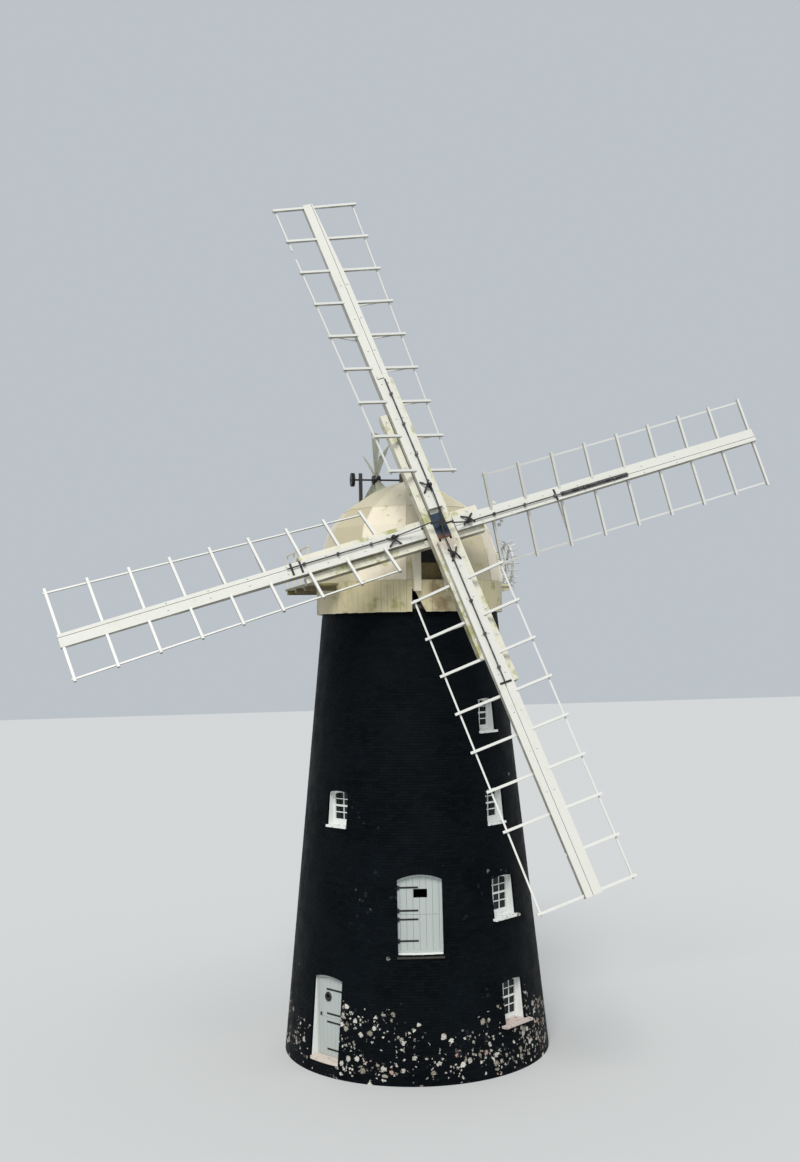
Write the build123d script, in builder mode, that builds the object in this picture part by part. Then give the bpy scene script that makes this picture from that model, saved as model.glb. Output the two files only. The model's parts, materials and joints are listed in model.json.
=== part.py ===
from build123d import *
import os
from math import cos, radians, sin, sqrt, tan

os.makedirs("parts", exist_ok=True)

# Tarred brick tower mill with a turning cap, four patent sails without shutters, and a fantail.
# Millimetres. Origin at the centre of the base on the ground, +Z up, the sails face -Y.

# Tower: a tapering round wall in eight segments, one opening column in the middle of each
BASE_RADIUS = 3600.0
TOWER_BATTER = 0.0994
WALL_TOP = 11850.0
SEGMENTS = 8
SEGMENT_ARC = 360.0 / SEGMENTS
FRONT_COLUMN = -101.0
WALL_THICKNESSES = [600.0, 530.0, 470.0, 420.0]
FLOOR_TOPS = [380.0, 3100.0, 5600.0, 7950.0]
FLOOR_THICKNESS = 120.0
FLOOR_EDGE_GAP = 5.0
SEAT_GAP = 0.3

# Curb: the timber ring on the wall on which the cap turns
CURB_OVERHANG = 3.0
CURB_WIDTH = 375.0
CURB_HEIGHT = 120.0
CURB_OUTER_RADIUS = BASE_RADIUS - TOWER_BATTER * WALL_TOP + CURB_OVERHANG
CURB_INNER_RADIUS = CURB_OUTER_RADIUS - CURB_WIDTH
CURB_TOP = WALL_TOP + CURB_HEIGHT

# Ground door: two leaves, one above the other, hung on the right jamb
DOOR_COLUMN = FRONT_COLUMN - SEGMENT_ARC
DOOR_OPENING_WIDTH = 1020.0
DOOR_SILL = FLOOR_TOPS[0]
DOOR_SPRING = 2370.0
DOOR_RISE = 80.0
DOOR_RECESS = 65.0
DOOR_JAMB = 75.0
DOOR_FRAME_DEPTH = 100.0
DOOR_LEAF_THICKNESS = 40.0
DOOR_GAP = 6.0
DOOR_SPLIT = 1360.0
DOOR_HOLE_PLACE = (-80.0, 1890.0)
DOOR_HOLE_RADIUS = 75.0
DOOR_STRAP_LEVELS = {"lower": [560.0, 1250.0], "upper": [1460.0, 2080.0]}
STRAP_LENGTH = 560.0
STRAP_HEIGHT = 45.0
STRAP_THICKNESS = 8.0
PINTLE_RADIUS = 9.0
PINTLE_STANDOFF = 22.0
PINTLE_BLOCK_HEIGHT = 40.5
PINTLE_PIN_HEIGHT = 94.5
EYE_RADIUS = 18.0
EYE_CLEARANCE = 0.3

# Loading door on the first floor: two fixed leaves in an arched frame, a hatch in the upper one
LOADING_WIDTH = 1140.0
LOADING_SILL = 3120.0
LOADING_SPRING = 4970.0
LOADING_RISE = 130.0
LOADING_RECESS = 80.0
LOADING_FRAME = 70.0
LOADING_SPLIT = 4080.0
LOADING_STRAP_LEVELS = [3420.0, 3960.0, 4180.0, 4760.0]
LOADING_STRAP_LENGTH = 500.0
HATCH_PLACE = (20.0, 4610.0)
HATCH_WIDTH = 350.0
HATCH_HEIGHT = 220.0

# Windows by storey: (width, sill height, height to the springing)
WINDOWS = {
    "ground": (800.0, 1130.0, 1080.0),
    "first": (880.0, 3780.0, 1040.0),
    "second": (720.0, 6180.0, 890.0),
    "third": (660.0, 8560.0, 850.0),
}
WINDOW_RISE = 55.0
WINDOW_RECESS = 170.0
WINDOW_FRAME = 60.0
WINDOW_FRAME_DEPTH = 80.0
GLASS_THICKNESS = 8.0
SILL_HEIGHT = 60.0

# Sill nosings by storey: (reach from the wall, reach past each jamb)
SILLS = {
    "ground": (120.0, 150.0),
    "first": (70.0, 60.0),
    "second": (20.0, 0.0),
    "third": (40.0, 25.0),
}

# Which storeys have a window in each column, counted from the front column towards +angle
COLUMN_WINDOWS = {
    0: [],
    1: ["ground", "first", "second", "third"],
    2: [],
    3: ["ground", "second"],
    4: ["first"],
    5: ["ground", "first", "second", "third"],
    6: [],
    7: ["second"],
}

# Cap: timber frame and round petticoat
CAP_RUNNING_GAP = 0.3
PETTICOAT_CLEARANCE = 120.0
PETTICOAT_THICKNESS = 40.0
PETTICOAT_RADIUS = CURB_OUTER_RADIUS + PETTICOAT_CLEARANCE + PETTICOAT_THICKNESS
PETTICOAT_BOTTOM = WALL_TOP - 90.0
SHEER_OFFSET = 850.0
SHEER_WIDTH = 200.0
SHEER_BOTTOM = CURB_TOP + 60.0
SHEER_HEIGHT = 270.0
CAP_RING_WIDTH = 245.0
CAP_RING_INNER = PETTICOAT_RADIUS - PETTICOAT_THICKNESS - CAP_RING_WIDTH
CAP_RING_BOTTOM = SHEER_BOTTOM + SHEER_HEIGHT
CAP_RING_TOP = CAP_RING_BOTTOM + 300.0
PETTICOAT_TOP = CAP_RING_TOP - 5.0
SHEER_FRONT = -CAP_RING_INNER
SHEER_REAR = PETTICOAT_RADIUS + 1715.0
TAIL_BEAM_TOP = SHEER_BOTTOM + 170.0
TAIL_BEAM_WIDTH = 320.0

# Outline of the board broken out of the petticoat: (place across the front, rise above its foot)
BROKEN_BOARD = [(-530.0, -60.0), (-140.0, -60.0), (-470.0, 590.0), (-530.0, 590.0)]

# Dome: (share of the base radius, rise above the cap ring) from the eave up
DOME_SIDES = 12
DOME_EAVE = 15.0
DOME_THICKNESS = 45.0
DOME_PROFILE = [
    (1.0, 0.0),
    (0.9538, 700.0),
    (0.8577, 1500.0),
    (0.6885, 2020.0),
    (0.3846, 2540.0),
    (0.1538, 2770.0),
    (0.0462, 2840.0),
]
BREAST_WIDTH = 1000.0
BREAST_HEIGHT = 1350.0
POST_WIDTH = 190.0
POST_LAP = 95.0
POST_TOP = CAP_RING_TOP + 1100.0
WEATHER_BEAM_FRONT = PETTICOAT_RADIUS - 200.0
WEATHER_BEAM_DEPTH = 390.0
WEATHER_BEAM_TOP = CAP_RING_TOP + 450.0
WEATHER_BEAM_HALF = 600.0

# Gallery on the cap's left side, small platform with the chain wheel on its right
DECK_BOTTOM = CAP_RING_BOTTOM + 200.0
DECK_THICKNESS = 60.0
LEFT_DECK_REACH = 565.0
LEFT_DECK_SPAN = (-1600.0, 2400.0)
RIGHT_DECK_REACH = 285.0
RIGHT_DECK_SPAN = (-250.0, 850.0)
BEARER_WIDTH = 100.0
BEARER_DEPTH = 120.0
BEARER_PLACES = (0.1, 0.5, 0.9)
RAIL_HEIGHT = 1000.0
RAIL_POST = 42.0
RAIL_SET_BACK = 60.0
RAIL_PLACES = (0.01, 0.34, 0.66, 0.99)
WHEEL_STANDOFF = 375.0
WHEEL_Y = 300.0
WHEEL_Z = CAP_RING_TOP + 550.0
WHEEL_RADIUS = 600.0
WHEEL_RIM = 45.0
WHEEL_WIDTH = 60.0
WHEEL_SPOKES = 6
WHEEL_POST = 120.0
WHEEL_AXLE_RADIUS = 25.0
CHAIN_RADIUS = 12.0
CHAIN_END = WALL_TOP + 250.0

# Windshaft, tilted up towards the front, and its bearings
SHAFT_TILT = 17.0
HUB_Y = -(PETTICOAT_RADIUS + 644.0)
HUB_Z = CAP_RING_TOP + 1240.0
SHAFT_RADIUS = 200.0
JOURNAL_RADIUS = 170.0
JOURNAL_HALF = 230.0
TAIL_LENGTH = 350.0
NECK_Y = -(WEATHER_BEAM_FRONT - WEATHER_BEAM_DEPTH / 2)
TAIL_Y = 1300.0
BEARING_LENGTH = 300.0
BEARING_WIDTH = 560.0
POLL_LENGTH = 680.0
POLL_WIDTH = 360.0
POLL_DEPTH = 300.0
FLANGE_RADIUS = 290.0
FLANGE_LENGTH = 120.0

# Sails: turn from upright, counted against the clock, and depth of the stock from the hub
SAIL_TURN = 17.0
FRONT_DEPTH = POLL_DEPTH / 2
REAR_DEPTH = -POLL_DEPTH / 2
SAILS = {
    "top": (SAIL_TURN, FRONT_DEPTH),
    "left": (SAIL_TURN + 90.0, REAR_DEPTH),
    "lower": (SAIL_TURN + 180.0, FRONT_DEPTH),
    "right": (SAIL_TURN + 270.0, REAR_DEPTH),
}
STOCK_SIZE = 240.0
STOCK_TAPER_START = 3600.0
STOCK_TIP_DEPTH = 150.0
STOCK_REACHES = {"top": 7700.0, "left": 7000.0, "lower": 5600.0, "right": 5600.0}
STOCK_PAIRS = {"top": "lower", "left": "right"}
CLAMP_WIDTH = 185.0
CLAMP_DEPTH = 235.0
CLAMP_ENDS = {
    "top": {1: (-3600.0, 3300.0), -1: (-4350.0, 4300.0)},
    "left": {1: (-1250.0, 3700.0), -1: (-1250.0, 3700.0)},
}

# Each whip is a main board and a narrower one beside it: (width, width at the tip) of the second
WHIP_DEPTH = 150.0
WHIP_START = 450.0
WHIP_TAPER = 7200.0
WHIP_END = 9760.0
WHIP_MAIN = (-76.0, 160.0)
WHIP_LINE = 12.0
SECOND_BOARD = {
    "top": (140.0, 30.0),
    "left": (130.0, 80.0),
    "lower": (190.0, 190.0),
    "right": (130.0, 110.0),
}

# Nine bars through each whip, with a hemlath behind their ends on both sides
BAR_COUNT = 9
BAR_FIRST = 1553.0
BAR_LAST = 9690.0
BAR_THICKNESS = 65.0
BAR_DEPTH = 75.0
WIDE_SIDE = 1467.0
NARROW_SIDE = 1087.0
WEATHER_HEEL = 29.7
WEATHER_TIP = 10.4
SHORT_BARS = {"lower": (BAR_COUNT - 2,)}
MORTISE_CLEARANCE = 0.3
HEMLATH_WIDTH = 45.0
HEMLATH_DEPTH = 30.0
HEMLATH_LET_IN = 5.0
HEMLATH_SET_BACK = 90.0
WHOLE_HEMLATH = [(-0.06, 8.06)]
BROKEN_HEMLATH = [(-0.06, 6.45), (6.72, 8.06)]

# Laths that brace bars to the back of the stock: bar numbers on the wide and the narrow side
BRACES = {
    "top": {-1: (1, 2, 3, 4, 5), 1: (4,)},
    "left": {-1: (3, 4), 1: ()},
    "lower": {-1: (1, 3), 1: ()},
    "right": {-1: (2,), 1: ()},
}
BRACE_THICKNESS = 26.0
BRACE_WIDTH = 40.0
BRACE_SET_BACK = 170.0
BRACE_LANDING = 80.0

# Striking gear: a spider on the striking rod, a crank on each whip and a rod along the whip
GEAR_OFFSET = -82.0
SPINDLE_RADIUS = 35.0
SPIDER_FRONT = 500.0
SPIDER_THICKNESS = 30.0
SPIDER_REACH = 300.0
SPIDER_ARM = 45.0
SPIDER_HUB_RADIUS = 100.0
CRANK_PLACES = {"top": 1050.0, "left": 1250.0, "lower": 870.0, "right": 830.0}
CRANK_RISE = 110.0
CRANK_ARM = 150.0
CRANK_BOSS_RADIUS = 40.0
CRANK_BOSS_HALF = 40.0
CRANK_FOOT_LENGTH = 110.0
CRANK_FOOT_WIDTH = 60.0
LINK_WIDTH = 36.0
LINK_EYE_RADIUS = 24.0
LINK_THICKNESS = 24.0
ROD_RADIUS = 15.0
ROD_RISE = 55.0
ROD_ENDS = {"top": 4200.0, "left": 4100.0, "lower": 4400.0, "right": 5600.0}
GUIDE_LENGTH = 60.0
GUIDE_WIDTH = 70.0
GUIDE_HEIGHT = 85.0
GUIDE_PITCH = 900.0
ROD_PLATE = {"right": (3550.0, 5600.0)}
ROD_PLATE_WIDTH = 110.0
ROD_PLATE_THICKNESS = 30.0

# Fantail and the stage behind the cap that carries it
FAN_Y = PETTICOAT_RADIUS + 915.0
FAN_Z = CAP_RING_TOP + 3350.0
FAN_X = -150.0
FAN_VANES = 6
FAN_RADIUS = 1450.0
FAN_PITCH = 38.0
FAN_AXLE_RADIUS = 28.0
FAN_HUB_RADIUS = 140.0
FAN_HUB_LENGTH = 240.0
FAN_AXLE_START = -960.0
FAN_AXLE_LENGTH = 1680.0
FAN_GEAR_RADIUS = 190.0
FAN_GEAR_OVERHANG = 20.0
FAN_GEAR_WIDTH = 100.0
FAN_GEAR_TEETH = 24
FAN_TOOTH_WIDTH = 24.0
FAN_TOOTH_REACH = 20.0
VANE_ROOT = 160.0
VANE_TIP = 560.0
VANE_THICKNESS = 22.0
STAGE_BOARD = 60.0
STAGE_FRONT = PETTICOAT_RADIUS + 95.0
STAGE_HALF = 1150.0
FAN_POST_SIZE = 100.0
FAN_POST_OFFSET = 640.0
FAN_POST_TOP = FAN_Z + 200.0
FAN_RAIL_RISES = (1140.0, 1940.0)
FAN_RAIL_DEPTH = 70.0
FAN_RAIL_HEIGHT = 130.0
STRUT_FOOT = 260.0
STRUT_TOP = (2240.0, 2480.0)


def outer_radius(height):
    return BASE_RADIUS - TOWER_BATTER * height


def face_radius(top, width, recess):
    """Distance from the tower's axis of a flat frame set back in an opening that ends at a height."""
    return sqrt(outer_radius(top) ** 2 - (width / 2) ** 2) - recess


def column_plane(angle):
    """Upright plane through the tower's axis: X along the wall, Y up, Z outwards."""
    a = radians(angle)
    return Plane(origin=(0, 0, 0), x_dir=(-sin(a), cos(a), 0), z_dir=(cos(a), sin(a), 0))


def radial_plane(angle):
    """Upright plane that holds the tower's axis: X outwards, Y up."""
    a = radians(angle)
    return Plane(origin=(0, 0, 0), x_dir=(cos(a), sin(a), 0), z_dir=(sin(a), -cos(a), 0))


def arched_outline(width, bottom, spring, rise):
    """An opening's outline in the current sketch: upright sides under a segmental arch."""
    half = width / 2
    with BuildLine() as outline:
        Polyline((half, spring), (half, bottom), (-half, bottom), (-half, spring))
        ThreePointArc((-half, spring), (0, spring + rise), (half, spring))
    make_face(outline.edges())


def wall_profile(bottom, top):
    """Half section of the wall: battered outside, set back inside at each floor."""
    ledges = [level - FLOOR_THICKNESS for level in FLOOR_TOPS[1:]]
    storey = sum(ledge < top for ledge in ledges)
    points = [(outer_radius(bottom), bottom), (outer_radius(top), top)]
    points.append((outer_radius(top) - WALL_THICKNESSES[storey], top))
    for ledge in reversed([level for level in ledges if bottom < level < top]):
        points.append((outer_radius(ledge) - WALL_THICKNESSES[storey], ledge))
        storey -= 1
        points.append((outer_radius(ledge) - WALL_THICKNESSES[storey], ledge))
    points.append((outer_radius(bottom) - WALL_THICKNESSES[storey], bottom))
    return points


def wall_between(angle, bottom, top):
    """One eighth of the round wall, in the current part."""
    with BuildSketch(radial_plane(angle - SEGMENT_ARC / 2)) as section:
        with BuildLine():
            Polyline(*wall_profile(bottom, top), close=True)
        make_face()
    revolve(section.sketch, axis=Axis.Z, revolution_arc=SEGMENT_ARC)


def cut_opening(angle, width, bottom, spring, rise):
    with BuildSketch(column_plane(angle)) as opening:
        arched_outline(width, bottom, spring, rise)
    extrude(opening.sketch, amount=2 * BASE_RADIUS, mode=Mode.SUBTRACT)


def save(part, label):
    part.label = label
    export_step(part, "parts/" + label + ".step")


# Wall segments
WALL_NAMES = ["wall_front", "wall_front_right", "wall_right", "wall_rear_right",
              "wall_rear", "wall_rear_left", "wall_left", "wall_over_door"]
for column, wall_name in enumerate(WALL_NAMES):
    angle = FRONT_COLUMN + column * SEGMENT_ARC
    over_door = wall_name == "wall_over_door"
    with BuildPart() as wall:
        wall_between(angle, DOOR_SPRING if over_door else 0, WALL_TOP)
        for storey in COLUMN_WINDOWS[column]:
            width, sill, height = WINDOWS[storey]
            cut_opening(angle, width, sill, sill + height, WINDOW_RISE)
        if column == 0:
            cut_opening(angle, LOADING_WIDTH, LOADING_SILL, LOADING_SPRING, LOADING_RISE)
        if over_door:
            cut_opening(angle, DOOR_OPENING_WIDTH, DOOR_SPRING - DOOR_RISE, DOOR_SPRING, DOOR_RISE)
    save(wall.part, wall_name)

# Walls beside the ground door
for side, wall_name in ((-1, "wall_door_left"), (1, "wall_door_right")):
    with BuildPart() as jamb_wall:
        wall_between(DOOR_COLUMN, 0, DOOR_SPRING)
        with BuildSketch(column_plane(DOOR_COLUMN)):
            with Locations((-side * (BASE_RADIUS - DOOR_OPENING_WIDTH / 2), DOOR_SPRING / 2)):
                Rectangle(2 * BASE_RADIUS, 2 * DOOR_SPRING)
        extrude(amount=2 * BASE_RADIUS, both=True, mode=Mode.SUBTRACT)
    save(jamb_wall.part, wall_name)

# Ground floor with the step that runs through the doorway
ground_bottom_radius = outer_radius(0) - WALL_THICKNESSES[0] - FLOOR_EDGE_GAP
ground_top_radius = outer_radius(FLOOR_TOPS[0]) - WALL_THICKNESSES[0] - FLOOR_EDGE_GAP
with BuildPart() as ground_floor:
    with BuildSketch(column_plane(DOOR_COLUMN)):
        with Locations((0, FLOOR_TOPS[0] / 2)):
            Rectangle(DOOR_OPENING_WIDTH, FLOOR_TOPS[0])
    extrude(amount=BASE_RADIUS)
    with BuildSketch(Plane.XZ):
        with BuildLine():
            Polyline((0, 0), (outer_radius(0), 0), (outer_radius(FLOOR_TOPS[0]), FLOOR_TOPS[0]),
                     (0, FLOOR_TOPS[0]), close=True)
        make_face()
    revolve(axis=Axis.Z, mode=Mode.INTERSECT)
    with BuildSketch(Plane.XZ):
        with BuildLine():
            Polyline((0, 0), (ground_bottom_radius, 0), (ground_top_radius, FLOOR_TOPS[0]),
                     (0, FLOOR_TOPS[0]), close=True)
        make_face()
    revolve(axis=Axis.Z)
save(ground_floor.part, "ground_floor")

# Upper floors, each a disc that rests on the wall's set-back
for storey, floor_name in ((1, "first_floor"), (2, "second_floor"), (3, "third_floor")):
    radius = outer_radius(FLOOR_TOPS[storey]) - WALL_THICKNESSES[storey] - FLOOR_EDGE_GAP
    with BuildPart() as floor:
        with BuildSketch(Plane.XY.offset(FLOOR_TOPS[storey] - FLOOR_THICKNESS)):
            Circle(radius)
        extrude(amount=FLOOR_THICKNESS)
    save(floor.part, floor_name)

# Curb ring
with BuildPart() as curb:
    with BuildSketch(Plane.XY.offset(WALL_TOP)):
        Circle(CURB_OUTER_RADIUS)
        Circle(CURB_INNER_RADIUS, mode=Mode.SUBTRACT)
    extrude(amount=CURB_HEIGHT)
save(curb.part, "curb")

# Door frame: two jambs and an arched head
door_face = face_radius(DOOR_SPRING + DOOR_RISE, DOOR_OPENING_WIDTH, DOOR_RECESS)
with BuildPart() as door_frame:
    with BuildSketch(column_plane(DOOR_COLUMN).offset(door_face - DOOR_FRAME_DEPTH)):
        arched_outline(DOOR_OPENING_WIDTH - 2 * SEAT_GAP, DOOR_SILL, DOOR_SPRING,
                       DOOR_RISE - SEAT_GAP)
    extrude(amount=DOOR_FRAME_DEPTH)
    with BuildSketch(column_plane(DOOR_COLUMN).offset(door_face - DOOR_FRAME_DEPTH)):
        arched_outline(DOOR_OPENING_WIDTH - 2 * DOOR_JAMB, DOOR_SILL, DOOR_SPRING - DOOR_JAMB,
                       DOOR_RISE)
    extrude(amount=DOOR_FRAME_DEPTH, mode=Mode.SUBTRACT)
save(door_frame.part, "door_frame")

# Door leaves, the upper one with a round hole
leaf_half = DOOR_OPENING_WIDTH / 2 - DOOR_JAMB - DOOR_GAP
for leaf_name, leaf_bottom, leaf_top in (
        ("lower", DOOR_SILL + DOOR_GAP, DOOR_SPLIT - DOOR_GAP / 2),
        ("upper", DOOR_SPLIT + DOOR_GAP / 2, DOOR_SPRING - DOOR_JAMB - DOOR_GAP)):
    with BuildPart() as leaf:
        with BuildSketch(column_plane(DOOR_COLUMN).offset(door_face - DOOR_LEAF_THICKNESS)):
            if leaf_name == "upper":
                arched_outline(2 * leaf_half, leaf_bottom, leaf_top, DOOR_RISE)
                with Locations(DOOR_HOLE_PLACE):
                    Circle(DOOR_HOLE_RADIUS, mode=Mode.SUBTRACT)
            else:
                with Locations((0, (leaf_bottom + leaf_top) / 2)):
                    Rectangle(2 * leaf_half, leaf_top - leaf_bottom)
        extrude(amount=DOOR_LEAF_THICKNESS)
    save(leaf.part, "door_leaf_" + leaf_name)

# Strap hinges: a strap on the leaf ends in an eye around a pintle on the jamb
hinge_line = DOOR_OPENING_WIDTH / 2 - DOOR_JAMB
hinge_reach = door_face + PINTLE_STANDOFF
for leaf_name, levels in DOOR_STRAP_LEVELS.items():
    with BuildPart() as straps:
        for level in levels:
            with BuildSketch(column_plane(DOOR_COLUMN).offset(door_face)):
                with Locations((hinge_line - EYE_RADIUS - STRAP_LENGTH / 2, level)):
                    Rectangle(STRAP_LENGTH, STRAP_HEIGHT)
            extrude(amount=STRAP_THICKNESS)
            with BuildSketch(Plane(origin=(0, 0, level - STRAP_HEIGHT / 2),
                                   x_dir=column_plane(DOOR_COLUMN).x_dir, z_dir=(0, 0, 1))):
                with Locations((hinge_line, -hinge_reach)):
                    Circle(EYE_RADIUS)
                with Locations((hinge_line - EYE_RADIUS, -door_face - EYE_RADIUS / 2)):
                    Rectangle(2 * EYE_RADIUS, EYE_RADIUS)
                with Locations((hinge_line, -hinge_reach)):
                    Circle(PINTLE_RADIUS + EYE_CLEARANCE, mode=Mode.SUBTRACT)
            extrude(amount=STRAP_HEIGHT)
    save(straps.part, "door_straps_" + leaf_name)

# Pintles on the jamb, one under each strap's eye
with BuildPart() as pintles:
    for level in DOOR_STRAP_LEVELS["lower"] + DOOR_STRAP_LEVELS["upper"]:
        foot = Plane(origin=(0, 0, level - 1.5 * STRAP_HEIGHT),
                     x_dir=column_plane(DOOR_COLUMN).x_dir, z_dir=(0, 0, 1))
        with BuildSketch(foot):
            with Locations((hinge_line + EYE_RADIUS / 2, -door_face - PINTLE_STANDOFF / 2)):
                Rectangle(2 * EYE_RADIUS, PINTLE_STANDOFF)
        extrude(amount=PINTLE_BLOCK_HEIGHT)
        with BuildSketch(foot):
            with Locations((hinge_line, -hinge_reach)):
                Circle(PINTLE_RADIUS)
        extrude(amount=PINTLE_PIN_HEIGHT)
save(pintles.part, "door_pintles")

# Loading door: arched frame, two fixed leaves, straps on the left side
loading_face = face_radius(LOADING_SPRING + LOADING_RISE, LOADING_WIDTH, LOADING_RECESS)
with BuildPart() as loading_frame:
    with BuildSketch(column_plane(FRONT_COLUMN).offset(loading_face - DOOR_FRAME_DEPTH)):
        arched_outline(LOADING_WIDTH - 2 * SEAT_GAP, LOADING_SILL + SEAT_GAP, LOADING_SPRING,
                       LOADING_RISE - SEAT_GAP)
    extrude(amount=DOOR_FRAME_DEPTH)
    with BuildSketch(column_plane(FRONT_COLUMN).offset(loading_face - DOOR_FRAME_DEPTH)):
        arched_outline(LOADING_WIDTH - 2 * LOADING_FRAME, LOADING_SILL + LOADING_FRAME,
                       LOADING_SPRING - LOADING_FRAME, LOADING_RISE)
    extrude(amount=DOOR_FRAME_DEPTH, mode=Mode.SUBTRACT)
save(loading_frame.part, "loading_door_frame")

loading_half = LOADING_WIDTH / 2 - LOADING_FRAME - DOOR_GAP / 2
loading_foot = LOADING_SILL + LOADING_FRAME + SEAT_GAP
lower_leaf_top = LOADING_SPLIT - DOOR_GAP / 2
with BuildPart() as loading_leaves:
    with BuildSketch(column_plane(FRONT_COLUMN).offset(loading_face - DOOR_LEAF_THICKNESS)):
        with Locations((0, (loading_foot + lower_leaf_top) / 2)):
            Rectangle(2 * loading_half, lower_leaf_top - loading_foot)
        arched_outline(2 * loading_half, LOADING_SPLIT + DOOR_GAP / 2,
                       LOADING_SPRING - LOADING_FRAME - DOOR_GAP / 2, LOADING_RISE)
        with Locations(HATCH_PLACE):
            Rectangle(HATCH_WIDTH, HATCH_HEIGHT, mode=Mode.SUBTRACT)
    extrude(amount=DOOR_LEAF_THICKNESS)
save(loading_leaves.part, "loading_door_leaves")

with BuildPart() as loading_straps:
    with BuildSketch(column_plane(FRONT_COLUMN).offset(loading_face)):
        for level in LOADING_STRAP_LEVELS:
            with Locations((-LOADING_WIDTH / 2 + LOADING_FRAME / 2 + LOADING_STRAP_LENGTH / 2, level)):
                Rectangle(LOADING_STRAP_LENGTH, STRAP_HEIGHT)
    extrude(amount=STRAP_THICKNESS)
save(loading_straps.part, "loading_door_straps")


def window_places():
    """Every window as (storey, column angle, width, sill height, height, face radius)."""
    places = []
    for column, storeys in COLUMN_WINDOWS.items():
        for storey in storeys:
            width, sill, height = WINDOWS[storey]
            face = face_radius(sill + height + WINDOW_RISE, width, WINDOW_RECESS)
            places.append((storey, FRONT_COLUMN + column * SEGMENT_ARC, width, sill, height, face))
    return places


# Window frames, glass and sills: one of each at every window
with BuildPart() as window_frames:
    for storey, angle, width, sill, height, face in window_places():
        with BuildSketch(column_plane(angle).offset(face - WINDOW_FRAME_DEPTH)):
            arched_outline(width - 2 * SEAT_GAP, sill + SILL_HEIGHT, sill + height,
                           WINDOW_RISE - SEAT_GAP)
        extrude(amount=WINDOW_FRAME_DEPTH)
        with BuildSketch(column_plane(angle).offset(face - WINDOW_FRAME_DEPTH)):
            arched_outline(width - 2 * WINDOW_FRAME, sill + SILL_HEIGHT + WINDOW_FRAME,
                           sill + height - WINDOW_FRAME, WINDOW_RISE)
        extrude(amount=WINDOW_FRAME_DEPTH, mode=Mode.SUBTRACT)
save(window_frames.part, "window_frames")

with BuildPart() as window_glass:
    for storey, angle, width, sill, height, face in window_places():
        with BuildSketch(column_plane(angle).offset(face - (WINDOW_FRAME_DEPTH + GLASS_THICKNESS) / 2)):
            arched_outline(width - 2 * WINDOW_FRAME - 2 * SEAT_GAP,
                           sill + SILL_HEIGHT + WINDOW_FRAME + SEAT_GAP,
                           sill + height - WINDOW_FRAME - SEAT_GAP, WINDOW_RISE)
        extrude(amount=GLASS_THICKNESS)
save(window_glass.part, "window_glass")

# The nosing outside the wall is wider than the part in the opening, and follows the wall
with BuildPart() as window_sills:
    for storey, angle, width, sill, height, face in window_places():
        reach, horn = SILLS[storey]
        with BuildSketch(column_plane(angle).offset(face)):
            with Locations((0, sill + SILL_HEIGHT / 2)):
                Rectangle(width - 2 * SEAT_GAP + 2 * horn, SILL_HEIGHT)
        extrude(amount=outer_radius(sill) + reach - face)
    with BuildSketch(Plane.XZ):
        with BuildLine():
            Polyline((0, 0), (outer_radius(0) + SEAT_GAP, 0),
                     (outer_radius(WALL_TOP) + SEAT_GAP, WALL_TOP), (0, WALL_TOP), close=True)
        make_face()
    revolve(axis=Axis.Z, mode=Mode.SUBTRACT)
    for storey, angle, width, sill, height, face in window_places():
        reach, horn = SILLS[storey]
        with BuildSketch(column_plane(angle).offset(face - WINDOW_FRAME_DEPTH)):
            with Locations((0, sill + SILL_HEIGHT / 2)):
                Rectangle(width - 2 * SEAT_GAP, SILL_HEIGHT)
        extrude(amount=outer_radius(sill) + reach - face + WINDOW_FRAME_DEPTH)
save(window_sills.part, "window_sills")

# Cap frame: two sheers, the ring that carries dome and petticoat, cross beams and skids
ring_outer = PETTICOAT_RADIUS - PETTICOAT_THICKNESS - SEAT_GAP
skid_y = sqrt(((CURB_INNER_RADIUS + CURB_OUTER_RADIUS) / 2) ** 2 - SHEER_OFFSET ** 2)
with BuildPart() as cap_frame:
    with BuildSketch(Plane.XY.offset(SHEER_BOTTOM)):
        with Locations((-SHEER_OFFSET, (SHEER_FRONT + SHEER_REAR) / 2),
                       (SHEER_OFFSET, (SHEER_FRONT + SHEER_REAR) / 2)):
            Rectangle(SHEER_WIDTH, SHEER_REAR - SHEER_FRONT)
    extrude(amount=SHEER_HEIGHT)
    with BuildSketch(Plane.XY.offset(SHEER_BOTTOM)):
        with Locations((0, TAIL_Y), (0, -TAIL_Y)):
            Rectangle(2 * SHEER_OFFSET, TAIL_BEAM_WIDTH)
        with Locations((0, SHEER_REAR - TAIL_BEAM_WIDTH / 2)):
            Rectangle(2 * SHEER_OFFSET, TAIL_BEAM_WIDTH / 2)
    extrude(amount=TAIL_BEAM_TOP - SHEER_BOTTOM)
    with BuildSketch(Plane.XY.offset(CAP_RING_BOTTOM)):
        Circle(ring_outer)
        Circle(CAP_RING_INNER, mode=Mode.SUBTRACT)
    extrude(amount=CAP_RING_TOP - CAP_RING_BOTTOM)
    with BuildSketch(Plane.XY.offset(CURB_TOP + CAP_RUNNING_GAP)):
        with Locations(*[(x * SHEER_OFFSET, y * skid_y) for x in (-1, 1) for y in (-1, 1)]):
            Rectangle(SHEER_WIDTH, SHEER_WIDTH)
    extrude(amount=SHEER_BOTTOM - CURB_TOP - CAP_RUNNING_GAP)
save(cap_frame.part, "cap_frame")

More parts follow.
